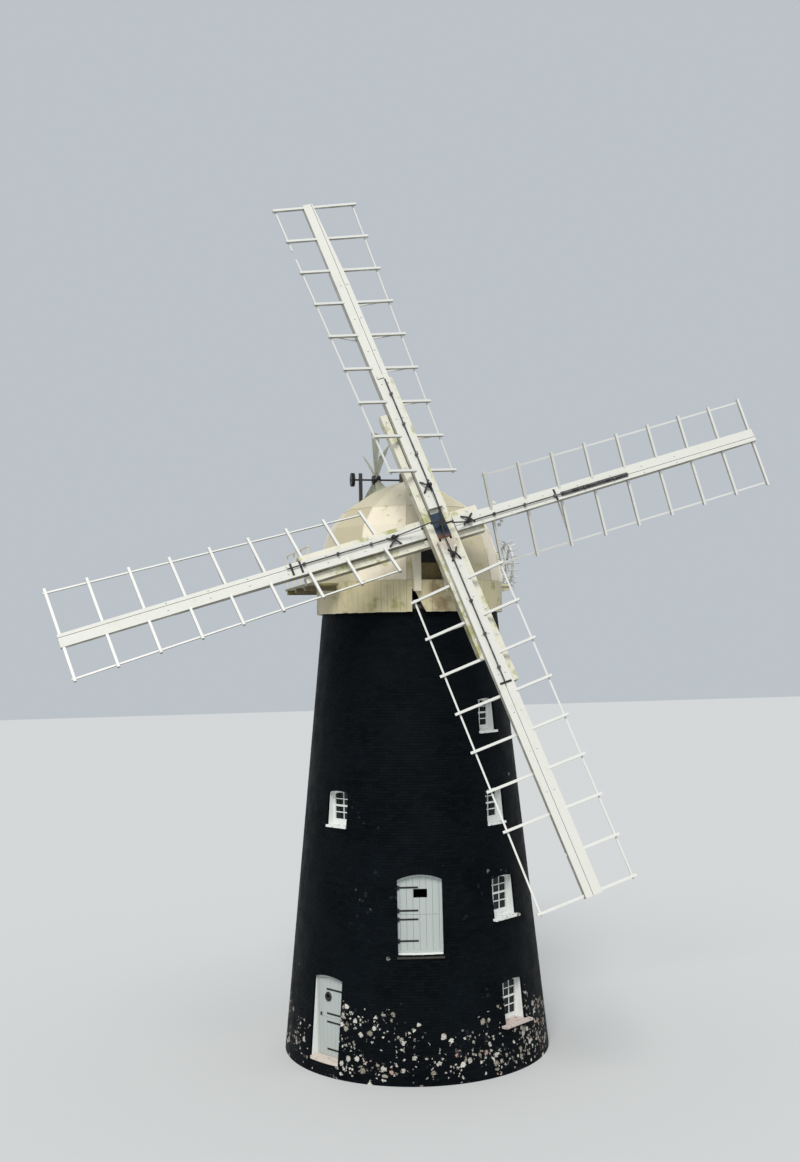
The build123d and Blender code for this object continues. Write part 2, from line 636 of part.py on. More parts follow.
# Petticoat: boarded skirt that hides the curb, notched for the sheers, one board broken away
with BuildPart() as petticoat:
    with BuildSketch(Plane.XY.offset(PETTICOAT_BOTTOM)):
        Circle(PETTICOAT_RADIUS)
        Circle(PETTICOAT_RADIUS - PETTICOAT_THICKNESS, mode=Mode.SUBTRACT)
    extrude(amount=PETTICOAT_TOP - PETTICOAT_BOTTOM)
    with BuildSketch(Plane.XZ):
        with Locations((-SHEER_OFFSET, SHEER_BOTTOM + SHEER_HEIGHT / 2),
                       (SHEER_OFFSET, SHEER_BOTTOM + SHEER_HEIGHT / 2)):
            Rectangle(SHEER_WIDTH + 2 * SEAT_GAP, SHEER_HEIGHT + 2 * SEAT_GAP)
    extrude(amount=-2 * PETTICOAT_RADIUS, mode=Mode.SUBTRACT)
    with BuildSketch(Plane.XZ):
        with BuildLine():
            Polyline(*[(across, PETTICOAT_BOTTOM + rise) for across, rise in BROKEN_BOARD], close=True)
        make_face()
    extrude(amount=2 * PETTICOAT_RADIUS, mode=Mode.SUBTRACT)
save(petticoat.part, "petticoat")


def dome_sections(inset):
    base_radius = PETTICOAT_RADIUS + DOME_EAVE
    sections = []
    for share, rise in DOME_PROFILE:
        with BuildSketch(Plane.XY.offset(CAP_RING_TOP + rise)) as section:
            RegularPolygon(base_radius * share - inset, DOME_SIDES, rotation=180 / DOME_SIDES)
        sections.append(section.sketch)
    loft(sections, ruled=True)


# Dome: twelve gores of flat panels, open at the front round the windshaft
with BuildPart() as dome_inner:
    dome_sections(DOME_THICKNESS)
with BuildPart() as dome:
    dome_sections(0)
    add(dome_inner.part.moved(Location((0, 0, -DOME_THICKNESS))), mode=Mode.SUBTRACT)
    with BuildSketch(Plane.XZ):
        with Locations((0, CAP_RING_TOP + BREAST_HEIGHT / 2)):
            Rectangle(BREAST_WIDTH, BREAST_HEIGHT)
    extrude(amount=2 * PETTICOAT_RADIUS, mode=Mode.SUBTRACT)
save(dome.part, "dome")

# Breast posts: they stand on the cap ring beside the windshaft and lap over the petticoat
post_front = PETTICOAT_RADIUS + POST_LAP
post_back = WEATHER_BEAM_FRONT + SEAT_GAP
with BuildPart() as breast_posts:
    with BuildSketch(Plane.XY.offset(CAP_RING_BOTTOM)):
        for side in (-1, 1):
            with Locations((side * (BREAST_WIDTH - POST_WIDTH) / 2, -(post_front + post_back) / 2)):
                Rectangle(POST_WIDTH, post_front - post_back)
    extrude(amount=POST_TOP - CAP_RING_BOTTOM)
    with BuildSketch(Plane.XY.offset(CAP_RING_BOTTOM)):
        Circle(PETTICOAT_RADIUS + SEAT_GAP)
    extrude(amount=CAP_RING_TOP - CAP_RING_BOTTOM, mode=Mode.SUBTRACT)
save(breast_posts.part, "breast_posts")

# Weather beam across the breast, which carries the neck bearing
with BuildPart() as weather_beam:
    with BuildSketch(Plane.XY.offset(CAP_RING_TOP)):
        with Locations((0, NECK_Y)):
            Rectangle(2 * WEATHER_BEAM_HALF, WEATHER_BEAM_DEPTH)
    extrude(amount=WEATHER_BEAM_TOP - CAP_RING_TOP)
save(weather_beam.part, "weather_beam")

tilt = radians(SHAFT_TILT)
rotor_plane = Plane(origin=(0, HUB_Y, HUB_Z), x_dir=(1, 0, 0), z_dir=(0, -cos(tilt), sin(tilt)))


def shaft_height(y):
    """Height of the windshaft's axis at a place along the cap."""
    return HUB_Z + (HUB_Y - y) * tan(tilt)


def shaft_distance(y):
    """Distance from the hub's centre back along the windshaft."""
    return (y - HUB_Y) / cos(tilt)


# Bearings under the windshaft: half blocks with a round seat
with BuildPart() as shaft_bearings:
    for y, bottom in ((NECK_Y, WEATHER_BEAM_TOP), (TAIL_Y, TAIL_BEAM_TOP)):
        with BuildSketch(Plane.XY.offset(bottom)):
            with Locations((0, y)):
                Rectangle(BEARING_WIDTH, BEARING_LENGTH)
        extrude(amount=shaft_height(y) - bottom)
    with BuildSketch(rotor_plane):
        Circle(JOURNAL_RADIUS + SEAT_GAP)
    extrude(amount=-2 * shaft_distance(TAIL_Y), mode=Mode.SUBTRACT)
save(shaft_bearings.part, "shaft_bearings")


def gallery_deck(side, deck_reach, span):
    """Deck and bearers between the petticoat and a straight outer edge, in the current part."""
    front, rear = span
    reach = PETTICOAT_RADIUS + deck_reach - CAP_RING_INNER
    middle = side * (CAP_RING_INNER + reach / 2)
    with BuildSketch(Plane.XY.offset(DECK_BOTTOM)) as deck:
        with Locations((middle, (front + rear) / 2)):
            Rectangle(reach, rear - front)
    extrude(deck.sketch, amount=DECK_THICKNESS)
    with BuildSketch(Plane.XY.offset(DECK_BOTTOM - BEARER_DEPTH)) as bearers:
        for place in BEARER_PLACES:
            with Locations((middle, front + (rear - front) * place)):
                Rectangle(reach, BEARER_WIDTH)
    extrude(bearers.sketch, amount=BEARER_DEPTH)


with BuildPart() as side_gallery:
    gallery_deck(-1, LEFT_DECK_REACH, LEFT_DECK_SPAN)
    gallery_deck(1, RIGHT_DECK_REACH, RIGHT_DECK_SPAN)
    with BuildSketch(Plane.XY.offset(DECK_BOTTOM - BEARER_DEPTH)):
        Circle(PETTICOAT_RADIUS + SEAT_GAP)
    extrude(amount=2 * BEARER_DEPTH, mode=Mode.SUBTRACT)
save(side_gallery.part, "side_gallery")

# Gallery rail along the left deck's outer edge
deck_top = DECK_BOTTOM + DECK_THICKNESS
rail_x = -(PETTICOAT_RADIUS + LEFT_DECK_REACH - RAIL_SET_BACK)
rail_front, rail_rear = LEFT_DECK_SPAN
with BuildPart() as gallery_rail:
    with BuildSketch(Plane.XY.offset(deck_top)):
        for place in RAIL_PLACES:
            with Locations((rail_x, rail_front + (rail_rear - rail_front) * place)):
                Rectangle(RAIL_POST, RAIL_POST)
    extrude(amount=RAIL_HEIGHT)
    with BuildSketch(Plane.XY.offset(deck_top + RAIL_HEIGHT)):
        with Locations((rail_x, (rail_front + rail_rear) / 2)):
            Rectangle(RAIL_POST, rail_rear - rail_front)
    extrude(amount=-RAIL_POST)
save(gallery_rail.part, "gallery_rail")

# Chain wheel: bracket post, axle, rim with spokes
wheel_x = PETTICOAT_RADIUS + WHEEL_STANDOFF
post_x = PETTICOAT_RADIUS + WHEEL_POST
with BuildPart() as wheel_bracket:
    with BuildSketch(Plane.XY.offset(deck_top)):
        with Locations((post_x, WHEEL_Y)):
            Rectangle(WHEEL_POST, WHEEL_POST)
    extrude(amount=WHEEL_Z + WHEEL_POST - deck_top)
    with BuildSketch(Plane.YZ.offset(post_x)):
        with Locations((WHEEL_Y, WHEEL_Z)):
            Circle(WHEEL_AXLE_RADIUS)
    extrude(amount=wheel_x + WHEEL_WIDTH - post_x)
save(wheel_bracket.part, "wheel_bracket")

with BuildPart() as chain_wheel:
    with BuildSketch(Plane.YZ.offset(wheel_x - WHEEL_WIDTH / 2)):
        with Locations((WHEEL_Y, WHEEL_Z)):
            Circle(WHEEL_RADIUS)
            Circle(WHEEL_RADIUS - WHEEL_RIM, mode=Mode.SUBTRACT)
            Circle(3 * WHEEL_AXLE_RADIUS)
            with PolarLocations(WHEEL_RADIUS / 2, WHEEL_SPOKES):
                Rectangle(WHEEL_RADIUS - WHEEL_RIM, WHEEL_RIM)
            Circle(WHEEL_AXLE_RADIUS + SEAT_GAP, mode=Mode.SUBTRACT)
    extrude(amount=WHEEL_WIDTH)
save(chain_wheel.part, "chain_wheel")

with BuildPart() as chain:
    with BuildSketch(Plane.XY.offset(CHAIN_END)):
        with Locations((wheel_x, WHEEL_Y - WHEEL_RADIUS - CHAIN_RADIUS)):
            Circle(CHAIN_RADIUS)
    extrude(amount=WHEEL_Z - CHAIN_END)
save(chain.part, "wheel_chain")

# Fan stage behind the cap, with the posts and raking struts that carry the fan
with BuildPart() as fan_stage:
    with BuildSketch(Plane.XY.offset(CAP_RING_BOTTOM)):
        with Locations((0, (STAGE_FRONT + SHEER_REAR) / 2)):
            Rectangle(2 * STAGE_HALF, SHEER_REAR - STAGE_FRONT)
    extrude(amount=STAGE_BOARD)
save(fan_stage.part, "fan_stage")

stage_top = CAP_RING_BOTTOM + STAGE_BOARD
with BuildPart() as fan_posts:
    with BuildSketch(Plane.XY.offset(stage_top)):
        with Locations((-FAN_POST_OFFSET, FAN_Y), (FAN_POST_OFFSET, FAN_Y)):
            Rectangle(FAN_POST_SIZE, FAN_POST_SIZE)
    extrude(amount=FAN_POST_TOP - stage_top)
    for rise in FAN_RAIL_RISES:
        with BuildSketch(Plane.XY.offset(stage_top + rise)):
            with Locations((0, FAN_Y)):
                Rectangle(2 * FAN_POST_OFFSET, FAN_RAIL_DEPTH)
        extrude(amount=FAN_RAIL_HEIGHT)
    for side in (-1, 1):
        with BuildSketch(Plane.YZ.offset(side * FAN_POST_OFFSET - FAN_POST_SIZE / 2)):
            with BuildLine():
                Polyline((SHEER_REAR, stage_top), (SHEER_REAR - STRUT_FOOT, stage_top),
                         (FAN_Y, stage_top + STRUT_TOP[0]), (FAN_Y, stage_top + STRUT_TOP[1]),
                         close=True)
            make_face()
        extrude(amount=FAN_POST_SIZE)
    with BuildSketch(Plane.YZ):
        with Locations((FAN_Y, FAN_Z)):
            Circle(FAN_AXLE_RADIUS + SEAT_GAP)
    extrude(amount=2 * STAGE_HALF, both=True, mode=Mode.SUBTRACT)
save(fan_posts.part, "fan_posts")

# Fantail: axle with its toothed wheel and hub, and pitched vanes that widen outwards
with BuildPart() as fan_axle:
    for low, length, radius in ((FAN_AXLE_START, FAN_AXLE_LENGTH, FAN_AXLE_RADIUS),
                                (FAN_X - FAN_HUB_LENGTH / 2, FAN_HUB_LENGTH, FAN_HUB_RADIUS)):
        with BuildSketch(Plane.YZ.offset(low)):
            with Locations((FAN_Y, FAN_Z)):
                Circle(radius)
        extrude(amount=length)
    with BuildSketch(Plane.YZ.offset(FAN_AXLE_START + FAN_GEAR_OVERHANG)):
        with Locations((FAN_Y, FAN_Z)):
            Circle(FAN_GEAR_RADIUS)
            with PolarLocations(FAN_GEAR_RADIUS, FAN_GEAR_TEETH):
                Rectangle(2 * FAN_TOOTH_REACH, FAN_TOOTH_WIDTH)
    extrude(amount=FAN_GEAR_WIDTH)
save(fan_axle.part, "fan_axle")

with BuildPart() as fan_vanes:
    for turn in range(FAN_VANES):
        vane_angle = radians(360.0 * turn / FAN_VANES)
        outward = Vector(0, sin(vane_angle), cos(vane_angle))
        pitch = radians(FAN_PITCH)
        across = Vector(sin(pitch), cos(pitch) * cos(vane_angle), -cos(pitch) * sin(vane_angle))
        centre = Vector(FAN_X, FAN_Y, FAN_Z)
        with BuildSketch(Plane(origin=centre, x_dir=outward, z_dir=outward.cross(across))):
            with BuildLine():
                Polyline((FAN_HUB_RADIUS + SEAT_GAP, -VANE_ROOT / 2), (FAN_RADIUS, -VANE_TIP / 2),
                         (FAN_RADIUS, VANE_TIP / 2), (FAN_HUB_RADIUS + SEAT_GAP, VANE_ROOT / 2),
                         close=True)
            make_face()
        extrude(amount=VANE_THICKNESS / 2, both=True)
save(fan_vanes.part, "fan_vanes")

WHIP_RISE = (STOCK_SIZE + WHIP_DEPTH) / 2
BAR_PITCH = (BAR_LAST - BAR_FIRST) / (BAR_COUNT - 1)


def sail_plane(turn):
    """X out along a sail from the hub, Y to its leading side, Z forwards along the shaft."""
    t = radians(turn)
    return Plane(origin=rotor_plane.origin, x_dir=(-sin(t), cos(t) * sin(tilt), cos(t) * cos(tilt)),
                 z_dir=rotor_plane.z_dir)


def weather(distance):
    """Slope of a sail bar at a distance from the hub."""
    share = (distance - BAR_FIRST) / (BAR_LAST - BAR_FIRST)
    return WEATHER_HEEL + (WEATHER_TIP - WEATHER_HEEL) * share


def sail_bars(rise, clearance, mode=Mode.ADD, short_bars=()):
    """The bars of a sail that lies along +X, in the current part."""
    for index in range(BAR_COUNT):
        distance = BAR_FIRST + index * BAR_PITCH
        slope = weather(distance)
        wide = 0 if index in short_bars else WIDE_SIDE
        middle = (NARROW_SIDE - wide) / 2
        place = Location((distance, middle * cos(radians(slope)), rise + middle * sin(radians(slope))),
                         (slope, 0, 0))
        with Locations(place):
            Box(BAR_THICKNESS + 2 * clearance, NARROW_SIDE + wide + 2 * clearance,
                BAR_DEPTH + 2 * clearance, mode=mode)


def hemlath(side, first, last):
    """Lath along the backs of the bars from one bar number to another, twisted with them."""
    back = (BAR_DEPTH + HEMLATH_DEPTH) / 2 - HEMLATH_LET_IN
    sections = []
    for number in (first, last):
        distance = BAR_FIRST + number * BAR_PITCH
        slope = radians(weather(distance))
        plane = Plane(origin=(distance, side * cos(slope) + back * sin(slope),
                              side * sin(slope) - back * cos(slope)),
                      x_dir=(0, cos(slope), sin(slope)), z_dir=(1, 0, 0))
        with BuildSketch(plane) as section:
            Rectangle(HEMLATH_WIDTH, HEMLATH_DEPTH)
        sections.append(section.sketch)
    loft(sections, ruled=True)


# Sail frames: nine bars with a hemlath along each side, one of them broken
for sail_name, (turn, depth) in SAILS.items():
    with BuildPart() as sail_frame:
        sail_bars(0, 0, short_bars=SHORT_BARS.get(sail_name, ()))
        for first, last in BROKEN_HEMLATH if sail_name == "top" else WHOLE_HEMLATH:
            hemlath(NARROW_SIDE - HEMLATH_SET_BACK, first, last)
        for first, last in WHOLE_HEMLATH:
            hemlath(-(WIDE_SIDE - HEMLATH_SET_BACK), first, last)
    place = sail_plane(turn).offset(depth + WHIP_RISE).location
    save(sail_frame.part.moved(place), "sail_frame_" + sail_name)

# Whips: two boards side by side in front of the stock for each sail, mortised for the bars
main_low, main_high = WHIP_MAIN
second_high = main_low - WHIP_LINE
whip_pairs = []
for sail_name, (turn, depth) in SAILS.items():
    heel, tip = SECOND_BOARD[sail_name]
    with BuildPart() as whip:
        with BuildSketch(Plane.XY.offset(-WHIP_DEPTH / 2)):
            with Locations(((WHIP_START + WHIP_END) / 2, (main_low + main_high) / 2)):
                Rectangle(WHIP_END - WHIP_START, main_high - main_low)
            with BuildLine():
                Polyline((WHIP_START, second_high), (WHIP_END, second_high),
                         (WHIP_END, second_high - tip), (WHIP_TAPER, second_high - heel),
                         (WHIP_START, second_high - heel), close=True)
            make_face()
        extrude(amount=WHIP_DEPTH)
        sail_bars(0, MORTISE_CLEARANCE, Mode.SUBTRACT)
    whip_pairs.append(whip.part.moved(sail_plane(turn).offset(depth + WHIP_RISE).location))
with BuildPart() as whips:
    for pair in whip_pairs:
        add(pair)
save(whips.part, "whips")


def stock_beam(low, high, clearance, mode=Mode.ADD):
    """A stock along X whose back tapers towards both ends, in the current part."""
    front = STOCK_SIZE / 2 + clearance
    back = -front
    tip = STOCK_SIZE / 2 - STOCK_TIP_DEPTH - clearance
    with BuildSketch(Plane.XZ) as side_view:
        with BuildLine():
            Polyline((low, front), (high, front), (high, tip), (STOCK_TAPER_START, back),
                     (-STOCK_TAPER_START, back), (low, tip), close=True)
        make_face()
    extrude(side_view.sketch, amount=front, both=True, mode=mode)


# Stocks: one beam for each pair of sails, through the poll end
stock_beams = []
for sail_name, opposite in STOCK_PAIRS.items():
    turn, depth = SAILS[sail_name]
    with BuildPart() as stock:
        stock_beam(-STOCK_REACHES[opposite], STOCK_REACHES[sail_name], 0)
        with PolarLocations(0, 2):
            sail_bars(WHIP_RISE, MORTISE_CLEARANCE, Mode.SUBTRACT)
    stock_beams.append(stock.part.moved(sail_plane(turn).offset(depth).location))
with BuildPart() as stocks:
    for beam in stock_beams:
        add(beam)
save(stocks.part, "stocks")

# Clamps: a pair of beams beside each stock, bolted to the poll end's sides
for sail_name, clamp_name in (("top", "clamps_front"), ("left", "clamps_rear")):
    turn, depth = SAILS[sail_name]
    with BuildPart() as clamps:
        for side, (low, high) in CLAMP_ENDS[sail_name].items():
            with Locations(((low + high) / 2, side * (POLL_WIDTH + CLAMP_WIDTH) / 2, depth)):
                Box(high - low, CLAMP_WIDTH, CLAMP_DEPTH)
        with PolarLocations(0, 2):
            sail_bars(depth + WHIP_RISE, MORTISE_CLEARANCE, Mode.SUBTRACT)
    save(clamps.part.moved(sail_plane(turn).location), clamp_name)

# Braces: thin laths from the back of a bar near its end to the back of the stock
brace_sets = []
for sail_name, sides in BRACES.items():
    turn, depth = SAILS[sail_name]
    stock_end = STOCK_REACHES[sail_name]
    with BuildPart() as sail_braces:
        for side, numbers in sides.items():
            reach = (NARROW_SIDE if side > 0 else WIDE_SIDE) - BRACE_SET_BACK
            for number in numbers:
                distance = BAR_FIRST + number * BAR_PITCH
                slope = radians(weather(distance))
                share = max(0, distance - STOCK_TAPER_START) / (stock_end - STOCK_TAPER_START)
                back = -STOCK_SIZE / 2 + share * (STOCK_SIZE - STOCK_TIP_DEPTH)
                outer = Vector(side * reach * cos(slope), WHIP_RISE + side * reach * sin(slope))
                inner = Vector(side * BRACE_LANDING, back + max(0, side) * BRACE_THICKNESS)
                across = (outer - inner).normalized().rotate(Axis.Z, 90) * (BRACE_THICKNESS / 2)
                with BuildSketch(Plane.YZ.offset(distance)):
                    with BuildLine():
                        Polyline(inner + across, outer + across, outer - across, inner - across,
                                 close=True)
                    make_face()
                extrude(amount=BRACE_WIDTH / 2, both=True)
        sail_bars(WHIP_RISE, MORTISE_CLEARANCE, Mode.SUBTRACT)
        stock_beam(-stock_end, stock_end, SEAT_GAP, Mode.SUBTRACT)
    brace_sets.append(sail_braces.part.moved(sail_plane(turn).offset(depth).location))
with BuildPart() as braces:
    for brace_set in brace_sets:
        add(brace_set)
save(braces.part, "sail_braces")

# Poll end: cast head with a box for each stock and a flange behind
with BuildPart() as poll_end:
    for depth, size in ((FRONT_DEPTH, (POLL_LENGTH, POLL_WIDTH)), (REAR_DEPTH, (POLL_WIDTH, POLL_LENGTH))):
        with Locations((0, 0, depth)):
            Box(size[0], size[1], POLL_DEPTH)
    for depth, size in ((FRONT_DEPTH, (2 * POLL_LENGTH, STOCK_SIZE)),
                        (REAR_DEPTH, (STOCK_SIZE, 2 * POLL_LENGTH))):
        with Locations((0, 0, depth)):
            Box(size[0] + 2 * MORTISE_CLEARANCE, size[1] + 2 * MORTISE_CLEARANCE,
                STOCK_SIZE + 2 * MORTISE_CLEARANCE, mode=Mode.SUBTRACT)
    with BuildSketch(Plane.XY.offset(-POLL_DEPTH)):
        Circle(FLANGE_RADIUS)
    extrude(amount=-FLANGE_LENGTH)
save(poll_end.part.moved(sail_plane(SAIL_TURN).location), "poll_end")

# Striking spider in front of the poll end: spindle, boss and an arm beside each link
arm_offset = GEAR_OFFSET + LINK_THICKNESS / 2 + SEAT_GAP + SPIDER_ARM / 2
with BuildPart() as spider:
    with BuildSketch(Plane.XY.offset(POLL_DEPTH + SEAT_GAP)):
        Circle(SPINDLE_RADIUS)
    extrude(amount=SPIDER_FRONT - POLL_DEPTH - SEAT_GAP)
    with BuildSketch(Plane.XY.offset(SPIDER_FRONT - SPIDER_THICKNESS)):
        Circle(SPIDER_HUB_RADIUS)
        with PolarLocations(0, len(SAILS)):
            with Locations((SPIDER_REACH / 2, arm_offset)):
                Rectangle(SPIDER_REACH, SPIDER_ARM)
    extrude(amount=SPIDER_THICKNESS)
save(spider.part.moved(sail_plane(SAIL_TURN).location), "striking_spider")

# Cranks: a foot on each whip's second board, a boss, an arm and the link to the spider
crank_parts = []
for sail_name, (turn, depth) in SAILS.items():
    whip_front = depth + WHIP_RISE + WHIP_DEPTH / 2
    crank = (CRANK_PLACES[sail_name], whip_front + CRANK_RISE)
    joint = (crank[0] - CRANK_ARM, crank[1])
    spider_end = (SPIDER_REACH - LINK_WIDTH, SPIDER_FRONT - SPIDER_THICKNESS / 2)
    with BuildPart() as crank_part:
        with BuildSketch(Plane.XZ.offset(-GEAR_OFFSET)) as side_view:
            with BuildLine() as link_line:
                Polyline(spider_end, joint, crank)
            trace(link_line.edges(), line_width=LINK_WIDTH)
            with Locations(spider_end, joint):
                Circle(LINK_EYE_RADIUS)
        extrude(amount=LINK_THICKNESS / 2, both=True)
        with BuildSketch(Plane.XZ.offset(-GEAR_OFFSET)):
            with Locations(crank):
                Circle(CRANK_BOSS_RADIUS)
        extrude(amount=CRANK_BOSS_HALF, both=True)
        with BuildSketch(Plane.XY.offset(whip_front + SEAT_GAP)):
            with Locations((crank[0], GEAR_OFFSET)):
                Rectangle(CRANK_FOOT_LENGTH, CRANK_FOOT_WIDTH)
        extrude(amount=CRANK_RISE - SEAT_GAP)
    crank_parts.append(crank_part.part.moved(sail_plane(turn).location))
with BuildPart() as cranks:
    for crank_part in crank_parts:
        add(crank_part)
save(cranks.part, "striking_cranks")

# Striking rods along the whips, in guide blocks; the right sail's lies on an iron plate
rod_parts = []
for sail_name, (turn, depth) in SAILS.items():
    whip_front = depth + WHIP_RISE + WHIP_DEPTH / 2
    start = CRANK_PLACES[sail_name] + CRANK_FOOT_LENGTH / 2 + SEAT_GAP
    guides = int((ROD_ENDS[sail_name] - start) / GUIDE_PITCH)
    with BuildPart() as rod_part:
        with BuildSketch(Plane.YZ.offset(start)):
            with Locations((GEAR_OFFSET, whip_front + ROD_RISE)):
                Circle(ROD_RADIUS)
        extrude(amount=ROD_ENDS[sail_name] - start)
        with BuildSketch(Plane.XY.offset(whip_front + SEAT_GAP)):
            for guide in range(guides):
                with Locations((ROD_ENDS[sail_name] - (guide + 0.5) * GUIDE_PITCH, GEAR_OFFSET)):
                    Rectangle(GUIDE_LENGTH, GUIDE_WIDTH)
        extrude(amount=GUIDE_HEIGHT - SEAT_GAP)
        if sail_name in ROD_PLATE:
            low, high = ROD_PLATE[sail_name]
            with BuildSketch(Plane.XY.offset(whip_front + SEAT_GAP)):
                with Locations(((low + high) / 2, GEAR_OFFSET)):
                    Rectangle(high - low, ROD_PLATE_WIDTH)
            extrude(amount=ROD_PLATE_THICKNESS)
    rod_parts.append(rod_part.part.moved(sail_plane(turn).location))
with BuildPart() as rods:
    for rod_part in rod_parts:
        add(rod_part)
save(rods.part, "striking_rods")

# Windshaft: turned iron shaft with a neck journal and a smaller tail
neck = -shaft_distance(NECK_Y)
tail_end = -shaft_distance(TAIL_Y) - TAIL_LENGTH
with BuildPart() as windshaft:
    with BuildSketch(Plane.XZ):
        with BuildLine():
            Polyline((0, -POLL_DEPTH - FLANGE_LENGTH), (SHAFT_RADIUS, -POLL_DEPTH - FLANGE_LENGTH),
                     (SHAFT_RADIUS, neck + JOURNAL_HALF), (JOURNAL_RADIUS, neck + JOURNAL_HALF),
                     (JOURNAL_RADIUS, neck - JOURNAL_HALF), (SHAFT_RADIUS, neck - JOURNAL_HALF),
                     (JOURNAL_RADIUS, tail_end + 3 * JOURNAL_HALF), (JOURNAL_RADIUS, tail_end),
                     (0, tail_end), close=True)
        make_face()
    revolve(axis=Axis.Z)
save(windshaft.part.moved(rotor_plane.location), "windshaft")
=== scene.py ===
# %% [markdown]
# A tarred brick tower mill. The measured model already holds every wall, beam and spar, so this lesson
# only dresses it: bricks, boards, glazing bars, chain links, bolts, paint, tar and moss. Everything is
# in metres, and each part stays where it was measured.

# %% Load the frame
import json
from math import asin, atan, ceil, cos, degrees, floor, pi, radians, sin, sqrt, tan

import bmesh
import bpy
from mathutils import Euler, Matrix, Vector


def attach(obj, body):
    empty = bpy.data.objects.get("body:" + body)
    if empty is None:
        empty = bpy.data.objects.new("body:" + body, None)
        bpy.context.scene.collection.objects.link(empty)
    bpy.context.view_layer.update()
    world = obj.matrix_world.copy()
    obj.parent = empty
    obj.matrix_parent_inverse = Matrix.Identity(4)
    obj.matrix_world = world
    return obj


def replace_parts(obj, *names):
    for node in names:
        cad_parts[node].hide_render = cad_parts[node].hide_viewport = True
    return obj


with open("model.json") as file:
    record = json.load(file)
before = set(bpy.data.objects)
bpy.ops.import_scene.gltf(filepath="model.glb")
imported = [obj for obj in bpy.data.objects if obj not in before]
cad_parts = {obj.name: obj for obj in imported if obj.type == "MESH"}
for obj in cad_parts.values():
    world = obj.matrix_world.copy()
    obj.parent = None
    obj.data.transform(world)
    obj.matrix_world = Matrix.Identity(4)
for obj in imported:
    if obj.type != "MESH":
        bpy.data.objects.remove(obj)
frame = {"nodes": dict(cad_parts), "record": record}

scene = bpy.context.scene
nodes = frame["nodes"]
body_of = {name: body for body, members in frame["record"]["behaviour"]["bodies"].items()
           for name in members}
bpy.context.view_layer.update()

# %% [markdown]
# The sizes of the mill that the dressing has to follow. They could be measured again on the meshes, but
# they are few, so they are written down as the measured model has them: the wall's radius at the ground
# and its batter, the columns of openings, and where the sails' shaft points.

# %% Sizes of the mill
BASE_RADIUS = 3.600
TOWER_BATTER = 0.0994
WALL_TOP = 11.850
COLUMN_STEP = radians(45)
FRONT_COLUMN = radians(-101)
DOOR_COLUMN = FRONT_COLUMN - COLUMN_STEP
SHAFT_TILT = radians(17)
SAIL_TURN = radians(17)
HUB = Vector((0, -3.22911, 13.840))


def outer_radius(height):
    return BASE_RADIUS - TOWER_BATTER * height


print("wall radius at the curb", round(outer_radius(WALL_TOP), 3))

# %% [markdown]
# Openings are listed once, as width, sill, springing and rise of the arch, with the column they stand
# in. The bricks are trimmed to them and the glazing bars are set in them, so one list keeps the two in
# step. The ground door's bricks run on under it, up to the worn stone of its step.

# %% Openings
WINDOWS = {
    "ground": (0.800, 1.130, 2.210),
    "first": (0.880, 3.780, 4.820),
    "second": (0.720, 6.180, 7.070),
    "third": (0.660, 8.560, 9.410),
}
WINDOW_RISE = 0.055
COLUMN_WINDOWS = {
    1: ("ground", "first", "second", "third"),
    3: ("ground", "second"),
    4: ("first",),
    5: ("ground", "first", "second", "third"),
    7: ("second",),
}
STEP_FOOT = 0.300
GROUND_DOOR = (1.020, STEP_FOOT, 2.370, 0.080)
LOADING_DOOR = (1.140, 3.120, 4.970, 0.130)

windows = [(FRONT_COLUMN + column * COLUMN_STEP, *WINDOWS[storey], WINDOW_RISE)
           for column, storeys in COLUMN_WINDOWS.items() for storey in storeys]
openings = windows + [(DOOR_COLUMN, *GROUND_DOOR), (FRONT_COLUMN, *LOADING_DOOR)]
print(len(windows), "windows and", len(openings) - len(windows), "doorways")

# %% [markdown]
# A node tree is easier to read when one call makes a node, sets it and wires it. put() does that: a
# socket among its inputs becomes a link and anything else a value. The short names below it stand for
# the nodes that come up again and again.

# %% Helpers for node trees
FLOAT, COLOUR, VECTOR = "NodeSocketFloat", "NodeSocketColor", "NodeSocketVector"


def wire(tree, node, inputs):
    """Links or sets each named or numbered input; a colour is given as three numbers."""
    for name, value in inputs.items():
        socket = node.inputs[name]
        if isinstance(value, bpy.types.NodeSocket):
            tree.links.new(value, socket)
        else:
            socket.default_value = (*value, 1.0) if socket.type == "RGBA" else value


def put(tree, kind, inputs=None, **settings):
    """Adds a node, gives it its settings and wires its inputs."""
    made = tree.nodes.new(kind)
    for name, value in settings.items():
        setattr(made, name, value)
    wire(tree, made, inputs or {})
    return made


def maths(tree, operation, first, second=0.0, clamp=False):
    return put(tree, "ShaderNodeMath", {0: first, 1: second}, operation=operation,
               use_clamp=clamp).outputs[0]


def plus(tree, first, second, clamp=False):
    return maths(tree, "ADD", first, second, clamp)


def minus(tree, first, second):
    return maths(tree, "SUBTRACT", first, second)


def times(tree, first, *others):
    for other in others:
        first = maths(tree, "MULTIPLY", first, other)
    return first


def vector_maths(tree, operation, *values):
    made = put(tree, "ShaderNodeVectorMath", dict(enumerate(values)), operation=operation)
    return made.outputs["Value" if operation in ("LENGTH", "DISTANCE") else "Vector"]


print("node helpers ready")

# %% [markdown]
# Patterns need a place to read and a way to shape what they give. The place is the Object coordinate,
# which stays with a piece when it turns. A ramp cuts a grey noise into a mask with a soft rim, and a
# mask then says how much of one colour lies over another.

# %% Helpers: place, noise, ramp and blend


def object_place(tree):
    return tree.nodes.new("ShaderNodeTexCoord").outputs["Object"]


def along_axis(tree, vector, name):
    """One of the three numbers of a vector."""
    return put(tree, "ShaderNodeSeparateXYZ", {0: vector}).outputs[name]


